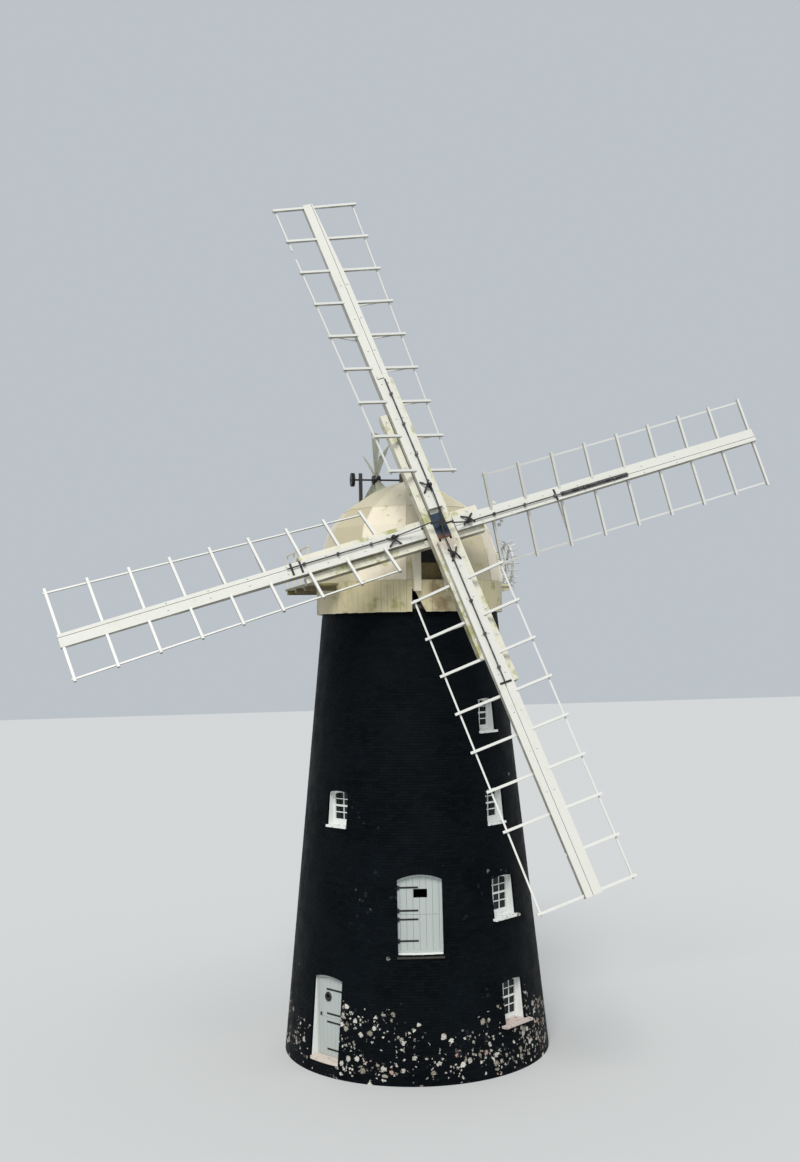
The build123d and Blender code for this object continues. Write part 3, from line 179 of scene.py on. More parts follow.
def noise(tree, place, scale, detail=4.0, roughness=0.55):
    return put(tree, "ShaderNodeTexNoise", {"Vector": place, "Scale": scale, "Detail": detail,
                                            "Roughness": roughness}).outputs["Fac"]


def ramp(tree, value, low, high, to_low=0.0, to_high=1.0):
    """A smooth step from one number to another."""
    return put(tree, "ShaderNodeMapRange",
               {"Value": value, "From Min": low, "From Max": high, "To Min": to_low, "To Max": to_high},
               interpolation_type="SMOOTHSTEP").outputs[0]


def blend_colours(tree, share, first, second):
    return put(tree, "ShaderNodeMix", {0: share, 6: first, 7: second}, data_type="RGBA",
               blend_type="MIX").outputs[2]


def new_group(name, inputs, outputs):
    """An empty shader node group with named sockets; gives the tree, what comes in and its end."""
    tree = bpy.data.node_groups.new(name, "ShaderNodeTree")
    for way, sockets in (("INPUT", inputs), ("OUTPUT", outputs)):
        for label, kind in sockets.items():
            tree.interface.new_socket(label, in_out=way, socket_type=kind)
    return tree, tree.nodes.new("NodeGroupInput").outputs, tree.nodes.new("NodeGroupOutput")


def use_group(tree, group, inputs):
    made = tree.nodes.new("ShaderNodeGroup")
    made.node_tree = group
    wire(tree, made, inputs)
    return made.outputs


print("pattern helpers ready")

# %% [markdown]
# Stains, wear and moss are all the same thing: a noise cut off at some level. One group makes such
# patches, with their size, how much they cover and how soft their rims are. The cut-off moves against
# the amount, so that 0 leaves the surface clean and 1 covers nearly all of it.

# %% Group: patches
CLEAN_CUT = 0.74
CUT_MOVES = 0.48

patches, given, end = new_group(
    "Patches", {"Place": VECTOR, "Scale": FLOAT, "Amount": FLOAT, "Softness": FLOAT}, {"Mask": FLOAT})
cloud = noise(patches, given["Place"], given["Scale"], 6.0, 0.62)
edge = minus(patches, CLEAN_CUT, times(patches, given["Amount"], CUT_MOVES))
wire(patches, end, {"Mask": ramp(patches, cloud, edge, plus(patches, edge, given["Softness"]))})


def patchy(tree, place, scale, amount, softness):
    return use_group(tree, patches, {"Place": place, "Scale": scale, "Amount": amount,
                                     "Softness": softness})["Mask"]


print("patches are cut off between", CLEAN_CUT, "and", round(CLEAN_CUT - CUT_MOVES, 2))

# %% [markdown]
# Where tar lets go of brick it does so in separate spots, a hand wide or less, and not in clouds, so a
# noise alone looks wrong. A Voronoi pattern scatters points; each draws its own chance of being a spot
# and its own size, and a little noise on the coordinates makes the rims ragged.

# %% Group: flakes
SMALLEST_SPOT = 0.22
SPOT_VARIES = 0.34
SPOT_RIM = 0.05
RAGGED_SCALE = 26.0
RAGGED_REACH = 0.10

flakes, given, end = new_group(
    "Flakes", {"Place": VECTOR, "Scale": FLOAT, "Density": FLOAT}, {"Mask": FLOAT, "Number": FLOAT})
ragged = put(flakes, "ShaderNodeTexNoise", {"Vector": given["Place"], "Scale": RAGGED_SCALE,
                                            "Detail": 3.0}).outputs["Color"]
centred = vector_maths(flakes, "SUBTRACT", ragged, (0.5, 0.5, 0.5))
shifted = vector_maths(flakes, "MULTIPLY_ADD", centred, [RAGGED_REACH] * 3, given["Place"])
cells = put(flakes, "ShaderNodeTexVoronoi", {"Vector": shifted, "Scale": given["Scale"]},
            feature="F1").outputs
draws = put(flakes, "ShaderNodeSeparateColor", {0: cells["Color"]}).outputs
chosen = maths(flakes, "LESS_THAN", draws[0], given["Density"])
spot_size = plus(flakes, SMALLEST_SPOT, times(flakes, draws[1], SPOT_VARIES))
depth = minus(flakes, spot_size, cells["Distance"])
wire(flakes, end, {"Mask": times(flakes, chosen, ramp(flakes, depth, 0.0, SPOT_RIM)),
                   "Number": draws[2]})
print("a spot's radius is", SMALLEST_SPOT, "to", round(SMALLEST_SPOT + SPOT_VARIES, 2), "of its cell")

# %% [markdown]
# The wall, the skirt of the cap and the dome are round, so a pattern on them needs the distance round
# the tower and not X and Y. An unwrapped map could give it, but a few nodes do so without one. This
# group gives the bearing from the front, the distance round, the radius and the height. Its seam is at
# the back of the mill.

# %% Group: round the tower
around, given, end = new_group("Round the tower", {}, {
    "Bearing": FLOAT, "Arc": FLOAT, "Radius": FLOAT, "Height": FLOAT, "Place": VECTOR})
place = object_place(around)
parts = put(around, "ShaderNodeSeparateXYZ", {0: place}).outputs
flat = put(around, "ShaderNodeCombineXYZ", {"X": parts["X"], "Y": parts["Y"]}).outputs[0]
reach = vector_maths(around, "LENGTH", flat)
bearing = maths(around, "ARCTAN2", parts["X"], times(around, parts["Y"], -1.0))
wire(around, end, {"Bearing": bearing, "Arc": times(around, bearing, reach), "Radius": reach,
                   "Height": parts["Z"], "Place": place})
print("round the tower:", len(around.nodes), "nodes")

# %% [markdown]
# Old outdoor paint is never one colour. It greys in streaks, gathers green moss where water sits, and
# wears through to the wood. This group lays the three over the paint, each with its own mask of
# patches, and also gives a height, so that a bump can lift the paint's edge. As a group it is built
# once, and every painted part sets its own colours and amounts.

# %% Group: weathered paint
RUN_STRETCH = (1.0, 1.0, 0.22)

weathered, given, end = new_group("Weathered paint", {
    "Place": VECTOR, "Paint": COLOUR, "Dirt": COLOUR, "Moss": COLOUR, "Wood": COLOUR,
    "Dirt Amount": FLOAT, "Moss Amount": FLOAT, "Wear Amount": FLOAT, "Streak": FLOAT,
}, {"Colour": COLOUR, "Roughness": FLOAT, "Height": FLOAT})
place = given["Place"]
stretched = vector_maths(weathered, "MULTIPLY", place, RUN_STRETCH)
streaks = patchy(weathered, stretched, 5.0, given["Dirt Amount"], 0.30)
blotches = patchy(weathered, place, 1.3, given["Dirt Amount"], 0.25)
moss = patchy(weathered, place, 2.2, given["Moss Amount"], 0.14)
worn = patchy(weathered, place, 17.0, given["Wear Amount"], 0.03)
grain = noise(weathered, place, 24.0, 3.0)
colour = given["Paint"]
for share, over in ((ramp(weathered, grain, 0.3, 0.7, 0.0, 0.12), "Dirt"),
                    (times(weathered, streaks, given["Streak"]), "Dirt"),
                    (times(weathered, blotches, 0.35), "Dirt"),
                    (times(weathered, moss, 0.75), "Moss"),
                    (worn, "Wood")):
    colour = blend_colours(weathered, share, colour, given[over])
wire(weathered, end, {"Colour": colour, "Roughness": plus(weathered, 0.42, times(weathered, moss, 0.35)),
                      "Height": minus(weathered, times(weathered, grain, 0.15), worn)})
print("weathered paint:", len(weathered.nodes), "nodes")

# %% [markdown]
# Every material ends in one Principled shader with a bump. finish_material() wires them, so that each
# material's own cell only says what is special about it. Bricks and boards carry a random number each,
# under the name tone, which the colours read.

# %% Helpers: a material
materials = {}


def new_material(name):
    """An empty material, kept under its name; gives its node tree."""
    material = materials[name] = bpy.data.materials.new(name)
    material.use_nodes = True
    material.node_tree.nodes.clear()
    return material.node_tree


def finish_material(tree, colour, roughness, height=None, bump=0.3, distance=0.01, **shader):
    surface = put(tree, "ShaderNodeBsdfPrincipled", {"Base Color": colour, "Roughness": roughness})
    wire(tree, surface, {name.replace("_", " "): value for name, value in shader.items()})
    if height is not None:
        lifted = put(tree, "ShaderNodeBump", {"Height": height, "Strength": bump, "Distance": distance})
        wire(tree, surface, {"Normal": lifted.outputs[0]})
    put(tree, "ShaderNodeOutputMaterial", {"Surface": surface.outputs[0]})


def read_tone(tree):
    """The random number that each brick or board carries."""
    return put(tree, "ShaderNodeAttribute", attribute_name="tone").outputs["Fac"]


def weather(tree, place, paint, dirt, moss, wood, amounts, streak):
    """Weathered paint; the amounts are those of dirt, moss and wear."""
    return use_group(tree, weathered, {
        "Place": place, "Paint": paint, "Dirt": dirt, "Moss": moss, "Wood": wood,
        "Dirt Amount": amounts[0], "Moss Amount": amounts[1], "Wear Amount": amounts[2],
        "Streak": streak})


print("material helpers ready")

# %% [markdown]
# The tower is brick under many coats of tar, which has let go near the ground, where pale bricks show
# through as spots, thick in some places and absent in others, with a few dull scuffs higher up. They
# could be painted on by hand, but the flakes group spreads them if it is told how dense they are. They
# climb highest where rain runs off the openings, so a wave round the tower lifts their upper limit, a
# broad noise says how bare a place is, and the foot of the wall stays damp and keeps its tar.

# %% Where the tar flakes
FLAKE_TOP = 1.15
FLAKE_RISE = 0.70
FLAKE_PEAK = radians(36)
FLAKE_STEP = radians(72)
GROUND_DAMP = 0.45
SCUFFS_THIN_FROM = 2.6
SCUFFS_END = 9.5


def flake_densities(tree, round_wall):
    """How dense the flakes near the ground are, and the scuffs above them."""
    place, height = round_wall["Place"], round_wall["Height"]
    turn = times(tree, minus(tree, round_wall["Bearing"], FLAKE_PEAK), 2 * pi / FLAKE_STEP)
    swell = plus(tree, 0.5, times(tree, maths(tree, "COSINE", turn), 0.5))
    top = plus(tree, FLAKE_TOP, times(tree, swell, FLAKE_RISE))
    below = ramp(tree, minus(tree, top, height), -0.25, 0.15)
    dry = ramp(tree, height, 0.05, GROUND_DAMP, 0.35, 1.0)
    bare = ramp(tree, noise(tree, place, 0.95, 2.0), 0.33, 0.56, 0.06, 0.88)
    low = times(tree, below, dry, bare, plus(tree, 0.45, times(tree, swell, 0.55)))
    strays = ramp(tree, noise(tree, place, 0.85, 2.0), 0.54, 0.66, 0.0, 0.34)
    fading = ramp(tree, height, SCUFFS_THIN_FROM, SCUFFS_END, 1.0, 0.0)
    return low, times(tree, fading, strays)


print("flakes up to", FLAKE_TOP, "or", FLAKE_TOP + FLAKE_RISE, "m, scuffs up to", SCUFFS_END, "m")

# %% [markdown]
# Tar itself is nearly black, with a blue sheen of the sky painted over it in patches as a painted
# reflection. Each brick takes it a little differently, by its own random number, or by a brick pattern
# on the wall behind the laid bricks. The bare bricks draw their colour from the number of their flake.

# %% Colours of tar and bare brick
BLACK_TAR = (0.0009, 0.0017, 0.0026)
# Painted reflection: a blue sheen of the sky, laid in patches on the black tar.
TAR_SKY_SHEEN = (0.0026, 0.0044, 0.0060)
THIN_TAR = (0.0062, 0.0090, 0.0115)
DARK_SCUFF = (0.012, 0.016, 0.020)
PALE_SCUFF = (0.20, 0.20, 0.18)
GREY_BRICK = (0.20, 0.18, 0.14)
PALE_BRICK = (0.60, 0.59, 0.54)
PINK_BRICK = (0.42, 0.27, 0.23)


def drawn_bricks(tree, round_wall):
    """A number for each brick, where the mesh carries none."""
    course = put(tree, "ShaderNodeCombineXYZ", {"X": round_wall["Arc"], "Y": round_wall["Height"]})
    return put(tree, "ShaderNodeTexBrick", {
        "Vector": course.outputs[0], "Scale": 1.0, "Mortar Size": 0.005, "Brick Width": 0.235,
        "Row Height": 0.075, "Color1": (0, 0, 0), "Color2": (1, 1, 1)}).outputs["Color"]


def flaking_tar(tree, round_wall, tone):
    """The colour of the wall's outside, and the mask of its flakes."""
    place = round_wall["Place"]
    low, high = flake_densities(tree, round_wall)
    # The tar's blue patches are a painted reflection of the sky.
    tar = blend_colours(tree, ramp(tree, noise(tree, place, 0.7), 0.3, 0.7), BLACK_TAR, TAR_SKY_SHEEN)
    tar = blend_colours(tree, times(tree, tone, 0.40), tar, THIN_TAR)
    spots, crumbs, scuffs = [
        use_group(tree, flakes, {"Place": place, "Scale": scale, "Density": density})
        for scale, density in ((6.6, low), (15.0, times(tree, low, 0.5)), (8.5, high))]
    scuff = blend_colours(tree, ramp(tree, scuffs["Number"], 0.80, 0.95), DARK_SCUFF, PALE_SCUFF)
    tar = blend_colours(tree, scuffs["Mask"], tar, scuff)
    brick = blend_colours(tree, spots["Number"], GREY_BRICK, PALE_BRICK)
    pink = ramp(tree, noise(tree, place, 2.6, 2.0), 0.60, 0.66)
    brick = blend_colours(tree, pink, brick, PINK_BRICK)
    flake = maths(tree, "MAXIMUM", spots["Mask"], crumbs["Mask"])
    return blend_colours(tree, flake, tar, brick), flake


print("tar and brick colours ready")

# %% [markdown]
# The tar is carried a few centimetres round the corners of the openings, the rest of their reveals is
# painted white, and the rooms are limewashed. The three could be three materials on separate faces, but
# how deep a point lies behind the wall's outside tells them apart, so one material does for the wall.

# %% Material: tarred brick
REVEAL_DEPTH = 0.055
INNER_DEPTH = 0.30
LIMEWASH = (0.72, 0.70, 0.64)
REVEAL_PAINT = (0.78, 0.80, 0.78)
REVEAL_DIRT = (0.42, 0.43, 0.40)


def tarred_brick(name, laid):
    tree = new_material(name)
    round_wall = use_group(tree, around, {})
    place = round_wall["Place"]
    outside, flake = flaking_tar(tree, round_wall,
                                 read_tone(tree) if laid else drawn_bricks(tree, round_wall))
    face = minus(tree, BASE_RADIUS, times(tree, round_wall["Height"], TOWER_BATTER))
    depth = minus(tree, face, round_wall["Radius"])
    reveal = ramp(tree, depth, REVEAL_DEPTH, REVEAL_DEPTH + 0.004)
    inner = ramp(tree, depth, INNER_DEPTH, INNER_DEPTH + 0.02)
    dirty = times(tree, patchy(tree, place, 6.0, 0.45, 0.3), 0.3)
    paint = blend_colours(tree, dirty, REVEAL_PAINT, REVEAL_DIRT)
    colour = blend_colours(tree, inner, blend_colours(tree, reveal, outside, paint), LIMEWASH)
    rough = plus(tree, ramp(tree, noise(tree, place, 2.3), 0.3, 0.7, 0.46, 0.62),
                 times(tree, maths(tree, "MAXIMUM", flake, reveal), 0.3), clamp=True)
    relief = minus(tree, noise(tree, place, 38.0, 4.0), times(tree, flake, 0.5))
    finish_material(tree, colour, rough, relief, 0.35, 0.006, Specular_IOR_Level=0.05)


tarred_brick("Tarred wall", laid=False)
tarred_brick("Tarred bricks", laid=True)
print(len(materials), "materials")

# %% [markdown]
# The other finishes of the mill are the same weathered paint with other amounts. What differs from part
# to part is laid over it by a mask: faces that look down are darker, partly as damp and partly as
# painted shade, boards take more or less of the dirt by their random number, the small platform on the
# right is cream where the deck on the left is dark, and rust has run from the hub down the spars below
# it.

# %% Helper: painted timber
PALE_WOOD = (0.33, 0.29, 0.23)
# Dark olive for faces that look down: partly damp, partly painted shade.
DAMP_AND_SHADE = (0.10, 0.09, 0.045)
RUST_RUN = (0.26, 0.165, 0.075)
RUST_SPOT = Vector((0.14, -0.53, -0.34))
RIGHT_SIDE = 1.2


# Faces that look down are darkened whichever way the light falls, partly as damp and partly as painted
# shade.
def damp_and_shaded_undersides(tree, amount):
    normal = tree.nodes.new("ShaderNodeTexCoord").outputs["Normal"]
    return times(tree, ramp(tree, along_axis(tree, normal, "Z"), -0.45, -0.05, amount, 0.0),
                 ramp(tree, noise(tree, object_place(tree), 1.7), 0.25, 0.55, 0.4, 1.0))


def rust_below_hub(tree, amount):
    away = vector_maths(tree, "DISTANCE", object_place(tree), HUB + RUST_SPOT)
    return times(tree, ramp(tree, away, 0.22, 0.46, amount, 0.0),
                 ramp(tree, noise(tree, object_place(tree), 11.0), 0.32, 0.55, 0.2, 1.0))


def painted_timber(name, paint, dirt, moss, amounts, wood=PALE_WOOD, streak=0.3, by_board=0.0,
                   under=0.0, on_right=None, rust=0.0):
    """Weathered paint on timber; on_right is the paint on the mill's right side."""
    tree = new_material(name)
    coat = weather(tree, object_place(tree), paint, dirt, moss, wood, amounts, streak)
    over = []
    if on_right:
        aside = along_axis(tree, object_place(tree), "X")
        over.append((ramp(tree, aside, RIGHT_SIDE, RIGHT_SIDE + 0.2, 0.0, 0.85), on_right))
    if by_board:
        over.append((times(tree, read_tone(tree), by_board), dirt))
    if under:
        over.append((damp_and_shaded_undersides(tree, under), DAMP_AND_SHADE))
    if rust:
        over.append((rust_below_hub(tree, rust), RUST_RUN))
    colour = coat["Colour"]
    for share, tint in over:
        colour = blend_colours(tree, share, colour, tint)
    finish_material(tree, colour, coat["Roughness"], coat["Height"], 0.25)


print("painted timber ready")

# %% [markdown]
# The sails are the whitest, the clamps behind them have gone green where rain stands, doors are a cool
# white, and the fan's vanes are olive. Colours stand in the order paint, dirt and moss, and amounts in
# the order dirt, moss and wear. A list of finishes is easier to compare and to tune than many trees.

# %% Materials: painted timber
painted_timber("Sail white", (0.69, 0.695, 0.66), (0.42, 0.41, 0.35), (0.40, 0.39, 0.17),
               (0.32, 0.08, 0.06), under=0.75)
painted_timber("Spar white", (0.67, 0.67, 0.62), (0.40, 0.39, 0.31), (0.40, 0.38, 0.14),
               (0.38, 0.14, 0.08), streak=0.35, under=0.8, rust=0.55)
painted_timber("Mossy spar", (0.70, 0.68, 0.57), (0.36, 0.35, 0.22), (0.30, 0.30, 0.07),
               (0.50, 0.50, 0.12), streak=0.45, under=0.8, rust=0.45)
painted_timber("Cap cream", (0.70, 0.66, 0.52), (0.40, 0.36, 0.24), (0.26, 0.25, 0.08),
               (0.50, 0.30, 0.10), streak=0.4, by_board=0.3)
# The deck's dark brown and its darker underside are partly painted shade, as seen from below.
painted_timber("Deck boards", (0.17, 0.14, 0.065), (0.050, 0.040, 0.022), (0.20, 0.20, 0.05),
               (0.60, 0.55, 0.25), streak=0.6, by_board=0.3, under=0.92, on_right=(0.68, 0.64, 0.46))
painted_timber("Door white", (0.44, 0.485, 0.47), (0.34, 0.37, 0.34), (0.34, 0.35, 0.22),
               (0.38, 0.08, 0.07), by_board=0.10)
painted_timber("Sash white", (0.76, 0.78, 0.76), (0.42, 0.44, 0.41), (0.34, 0.35, 0.22),
               (0.30, 0.05, 0.05))
painted_timber("Vane olive", (0.40, 0.41, 0.31), (0.15, 0.17, 0.11), (0.12, 0.14, 0.06),
               (0.60, 0.45, 0.18), streak=0.5)
painted_timber("Tarred timber", (0.030, 0.027, 0.023), (0.075, 0.062, 0.045), (0.06, 0.07, 0.03),
               (0.5, 0.2, 0.2), wood=(0.12, 0.09, 0.06))
painted_timber("Oiled beam", (0.20, 0.155, 0.060), (0.060, 0.042, 0.020), (0.14, 0.13, 0.04),
               (0.6, 0.25, 0.15), wood=(0.26, 0.20, 0.11), streak=0.6)
painted_timber("Bare boards", (0.30, 0.22, 0.14), (0.16, 0.12, 0.08), (0.14, 0.13, 0.06),
               (0.5, 0.1, 0.2), wood=(0.20, 0.15, 0.10), streak=0.5, by_board=0.4)
print(len(materials), "materials")

# %% [markdown]
# The dome is boarded in flat panels and each of them was painted and has faded by itself: one is a
# pinkish cream, the next is tan. A material for each panel would be twelve nearly equal ones. Instead
# the bearing from the front says which panel a point is on, and a sine of that number gives each its
# own tone. The panels above the top joint lie flatter and are all a little greyer.

# %% Material: dome panels
DOME_SIDES = 12
TOP_JOINT = 14.620
TAN_PANEL = (0.50, 0.45, 0.30)
PINK_PANEL = (0.84, 0.76, 0.61)
TOP_PANEL = (0.60, 0.55, 0.40)

tree = new_material("Dome paint")
round_cap = use_group(tree, around, {})
share = maths(tree, "DIVIDE", round_cap["Bearing"], 2 * pi / DOME_SIDES)
panel = maths(tree, "FLOOR", plus(tree, share, 0.5))
wave = maths(tree, "SINE", plus(tree, times(tree, panel, 2.2), 3.4))
paint = blend_colours(tree, plus(tree, times(tree, wave, 0.5), 0.5), TAN_PANEL, PINK_PANEL)
upper = ramp(tree, round_cap["Height"], TOP_JOINT - 0.01, TOP_JOINT + 0.01)
paint = blend_colours(tree, times(tree, upper, 0.7), paint, TOP_PANEL)
coat = weather(tree, round_cap["Place"], paint, (0.42, 0.38, 0.25), (0.42, 0.40, 0.13), PALE_WOOD,
               (0.38, 0.34, 0.06), 0.28)
finish_material(tree, coat["Colour"], coat["Roughness"], coat["Height"], 0.2)
print("dome:", DOME_SIDES, "panels round, joint at", TOP_JOINT, "m")

# %% [markdown]
# Iron is paint over rust that breaks through in small spots: black on the doors, blue-black on the poll
# end and pale grey on the chain and its wheel. The poll end is rusty along its lower edge, where water
# hangs. Bare metal would need the shader's Metallic at 1; here a little is enough, because what shows
# is paint.

# %% Materials: iron


def painted_iron(name, paint, light, rust_amount, roughness, rust=(0.11, 0.045, 0.02), wet_below=0.0):
    tree = new_material(name)
    place = object_place(tree)
    tone = ramp(tree, noise(tree, place, 5.0), 0.35, 0.7)
    rusty = patchy(tree, place, 11.0, rust_amount, 0.06)
    if wet_below:
        height = along_axis(tree, place, "Z")
        soaked = times(tree, ramp(tree, height, wet_below - 0.16, wet_below, 1.0, 0.0),
                       ramp(tree, noise(tree, place, 9.0), 0.30, 0.55, 0.45, 1.0))
        rusty = maths(tree, "MAXIMUM", rusty, soaked)
    colour = blend_colours(tree, rusty, blend_colours(tree, tone, paint, light), rust)
    rough = plus(tree, roughness, times(tree, rusty, 0.35), clamp=True)
    finish_material(tree, colour, rough, noise(tree, place, 45.0), 0.2, 0.004, Metallic=0.25)


painted_iron("Black iron", (0.008, 0.008, 0.009), (0.022, 0.022, 0.024), 0.20, 0.45)
painted_iron("Poll iron", (0.010, 0.022, 0.040), (0.028, 0.052, 0.082), 0.14, 0.40,
             rust=(0.16, 0.070, 0.028), wet_below=13.76)
painted_iron("Grey iron", (0.48, 0.49, 0.48), (0.76, 0.77, 0.74), 0.30, 0.50, rust=(0.12, 0.10, 0.08))
painted_iron("Dull iron", (0.030, 0.030, 0.032), (0.120, 0.120, 0.115), 0.25, 0.50)
print(len(materials), "materials")

# %% [markdown]
# Sills are dressed stone, bare and pinkish on the ground floor and painted white above. The step is
# worn stone above the tarred courses that carry it. Each could be split where its finish changes, but a
# height at which paint begins, and one at which tar ends, do it in the material. From outside, a window
# by day is a dark hole with a sheen, so the glass is tinted near black, a painted shade for the dim
# rooms behind it, and lets little of the light pass.

# %% Materials: stone and glass
FOOT_TAR = (0.002, 0.003, 0.004)


def stone(name, dark, light, stain, stain_amount, painted_from=50.0, tarred_to=-1.0):
    tree = new_material(name)
    place = object_place(tree)
    height = along_axis(tree, place, "Z")
    colour = blend_colours(tree, noise(tree, place, 7.0), dark, light)
    for share, over in ((ramp(tree, height, painted_from, painted_from + 0.1), REVEAL_PAINT),
                        (ramp(tree, height, tarred_to, tarred_to + 0.01, 1.0, 0.0), FOOT_TAR),
                        (patchy(tree, place, 9.0, stain_amount, 0.1), stain)):
        colour = blend_colours(tree, share, colour, over)
    finish_material(tree, colour, 0.8, noise(tree, place, 60.0), 0.4, 0.004)


stone("Sill stone", (0.46, 0.36, 0.33), (0.62, 0.55, 0.51), (0.17, 0.15, 0.13), 0.36, painted_from=3.0)
stone("Worn step", (0.52, 0.44, 0.38), (0.70, 0.62, 0.55), (0.22, 0.19, 0.15), 0.34, tarred_to=STEP_FOOT)

# The glass's near-black tint is painted shade for the rooms behind it.
tree = new_material("Window glass")
smear = ramp(tree, noise(tree, object_place(tree), 9.0), 0.3, 0.7, 0.03, 0.14)
finish_material(tree, (0.012, 0.020, 0.020), smear, Transmission_Weight=0.30, IOR=1.45,
                Specular_IOR_Level=0.10)
print(len(materials), "materials")

# %% [markdown]
# Each measured part now gets its finish. The parts could be dressed one by one, but their names say
# what they are, so a table of first words finds them. Parts that a later cell replaces with a more
# detailed piece are given one too, so that nothing is ever left plain.

# %% Finish for each measured part
FINISHES = {
    "Tarred wall": ("wall_",),
    "Worn step": ("ground_floor",),
    "Bare boards": ("first_floor", "second_floor", "third_floor"),
    "Tarred timber": ("curb", "cap_frame", "fan_posts"),
    "Oiled beam": ("weather_beam",),
    "Door white": ("door_frame", "door_leaf", "loading_door_frame", "loading_door_leaves"),
    "Sash white": ("window_frames",),
    "Black iron": ("door_straps", "door_pintles", "loading_door_straps", "fan_axle", "shaft_bearings",
                   "striking_spider", "striking_cranks"),
    "Dull iron": ("striking_rods",),
    "Grey iron": ("chain_wheel", "wheel_chain"),
    "Poll iron": ("poll_end", "windshaft"),
    "Sill stone": ("window_sills",),
    "Window glass": ("window_glass",),
    "Dome paint": ("dome",),
    "Cap cream": ("petticoat", "breast_posts", "gallery_rail", "wheel_bracket"),
    "Deck boards": ("side_gallery", "fan_stage"),
    "Vane olive": ("fan_vanes",),
    "Sail white": ("sail_",),
    "Spar white": ("whips", "stocks"),
    "Mossy spar": ("clamps",),
}
for finish, starts in FINISHES.items():
    for name, node in nodes.items():
        if name.startswith(starts):
            node.data.materials.clear()
            node.data.materials.append(materials[finish])
dressed_starts = sum(FINISHES.values(), ())
print("parts with no finish:", [name for name in nodes if not name.startswith(dressed_starts)])

# %% [markdown]
# Bricks, boards and bars are all blocks in great number, so one Geometry Nodes tree lays them: it puts
# a block on every point, turned and sized by what the point says, gives each its own random tone, and
# makes them real at the end. Bolts are the same with a rounded head for a block, and the links of a
# chain with a ring. So one function builds all three trees, and only the shape that is laid differs.

# %% Trees: lay a shape on points
GEOMETRY, WHOLE, MATERIAL = "NodeSocketGeometry", "NodeSocketInt", "NodeSocketMaterial"


def new_geometry_tree(name, inputs, result):
    """An empty tree with named inputs; gives the tree and what comes in."""
    tree = bpy.data.node_groups.new(name, "GeometryNodeTree")
    for label, kind in inputs.items():
        tree.interface.new_socket(label, in_out="INPUT", socket_type=kind)
    tree.interface.new_socket(result, in_out="OUTPUT", socket_type=GEOMETRY)
    return tree, tree.nodes.new("NodeGroupInput").outputs


def end_geometry_tree(tree, given, made, result):
    """Makes what was made real, dresses it and gives it out."""
    real = put(tree, "GeometryNodeRealizeInstances", {"Geometry": made})
    dressed = put(tree, "GeometryNodeSetMaterial", {"Geometry": real.outputs[0],
                                                    "Material": given["Material"]})
    put(tree, "NodeGroupOutput", {result: dressed.outputs[0]})
    return tree


def point_vector(tree, name):
    """A vector that every point carries."""
    return put(tree, "GeometryNodeInputNamedAttribute", {"Name": name},
               data_type="FLOAT_VECTOR").outputs[0]


def laying_tree(name, shape, *labels):
    """A tree that lays one shape on every point; shape(tree, given) makes it and its scale."""
    tree, given = new_geometry_tree(name, {"Points": GEOMETRY, **dict.fromkeys(labels, FLOAT),
                                           "Seed": WHOLE, "Material": MATERIAL}, "Pieces")
    rotation = put(tree, "FunctionNodeEulerToRotation", {"Euler": point_vector(tree, "turn")})
    mesh, scale = shape(tree, given)
    laid = put(tree, "GeometryNodeInstanceOnPoints", {
        "Points": given["Points"], "Instance": mesh, "Rotation": rotation.outputs[0], "Scale": scale})
    chance = put(tree, "FunctionNodeRandomValue", {8: given["Seed"]}, data_type="FLOAT")
    toned = put(tree, "GeometryNodeStoreNamedAttribute", {"Geometry": laid.outputs[0], "Name": "tone"},
                data_type="FLOAT", domain="INSTANCE")
    tree.links.new(chance.outputs[1], next(s for s in toned.inputs if s.name == "Value" and s.enabled))
    return end_geometry_tree(tree, given, toned.outputs[0], "Pieces")


print("a tree can lay a shape on points")

# %% [markdown]
# The three shapes that are laid. A block is a unit cube that the point's size stretches, a bolt's head
# is a flattened ball of few faces, because hundreds of them are set, and a link is an oval of wire,
# swept along a curve so that its wire stays round however long the link is.

# %% Shapes: block, bolt and link
BALL_LEVEL = 2
LINK_CORNERS = 14
WIRE_CORNERS = 6


def block_shape(tree, given):
    size = put(tree, "ShaderNodeSeparateXYZ", {0: point_vector(tree, "size")}).outputs
    full = put(tree, "ShaderNodeCombineXYZ", {"X": size["X"], "Y": size["Y"], "Z": given["Thickness"]})
    return put(tree, "GeometryNodeMeshCube", {"Size": (1, 1, 1)}).outputs["Mesh"], full.outputs[0]


def bolt_shape(tree, given):
    head = put(tree, "GeometryNodeMeshIcoSphere", {"Radius": 1.0, "Subdivisions": BALL_LEVEL})
    full = put(tree, "ShaderNodeCombineXYZ", {"X": given["Radius"], "Y": given["Radius"],
                                              "Z": given["Height"]})
    return head.outputs["Mesh"], full.outputs[0]


def link_shape(tree, given):
    ring = put(tree, "GeometryNodeCurvePrimitiveCircle", {"Resolution": LINK_CORNERS, "Radius": 0.5})
    full = put(tree, "ShaderNodeCombineXYZ", {"X": given["Width"], "Y": given["Length"], "Z": 1.0})
    oval = put(tree, "GeometryNodeTransform", {"Geometry": ring.outputs["Curve"],
                                               "Scale": full.outputs[0]})
    wire_section = put(tree, "GeometryNodeCurvePrimitiveCircle", {"Resolution": WIRE_CORNERS,
                                                                  "Radius": given["Wire"]})
    swept = put(tree, "GeometryNodeCurveToMesh", {"Curve": oval.outputs[0],
                                                  "Profile Curve": wire_section.outputs["Curve"]})
    return swept.outputs[0], (1.0, 1.0, 1.0)


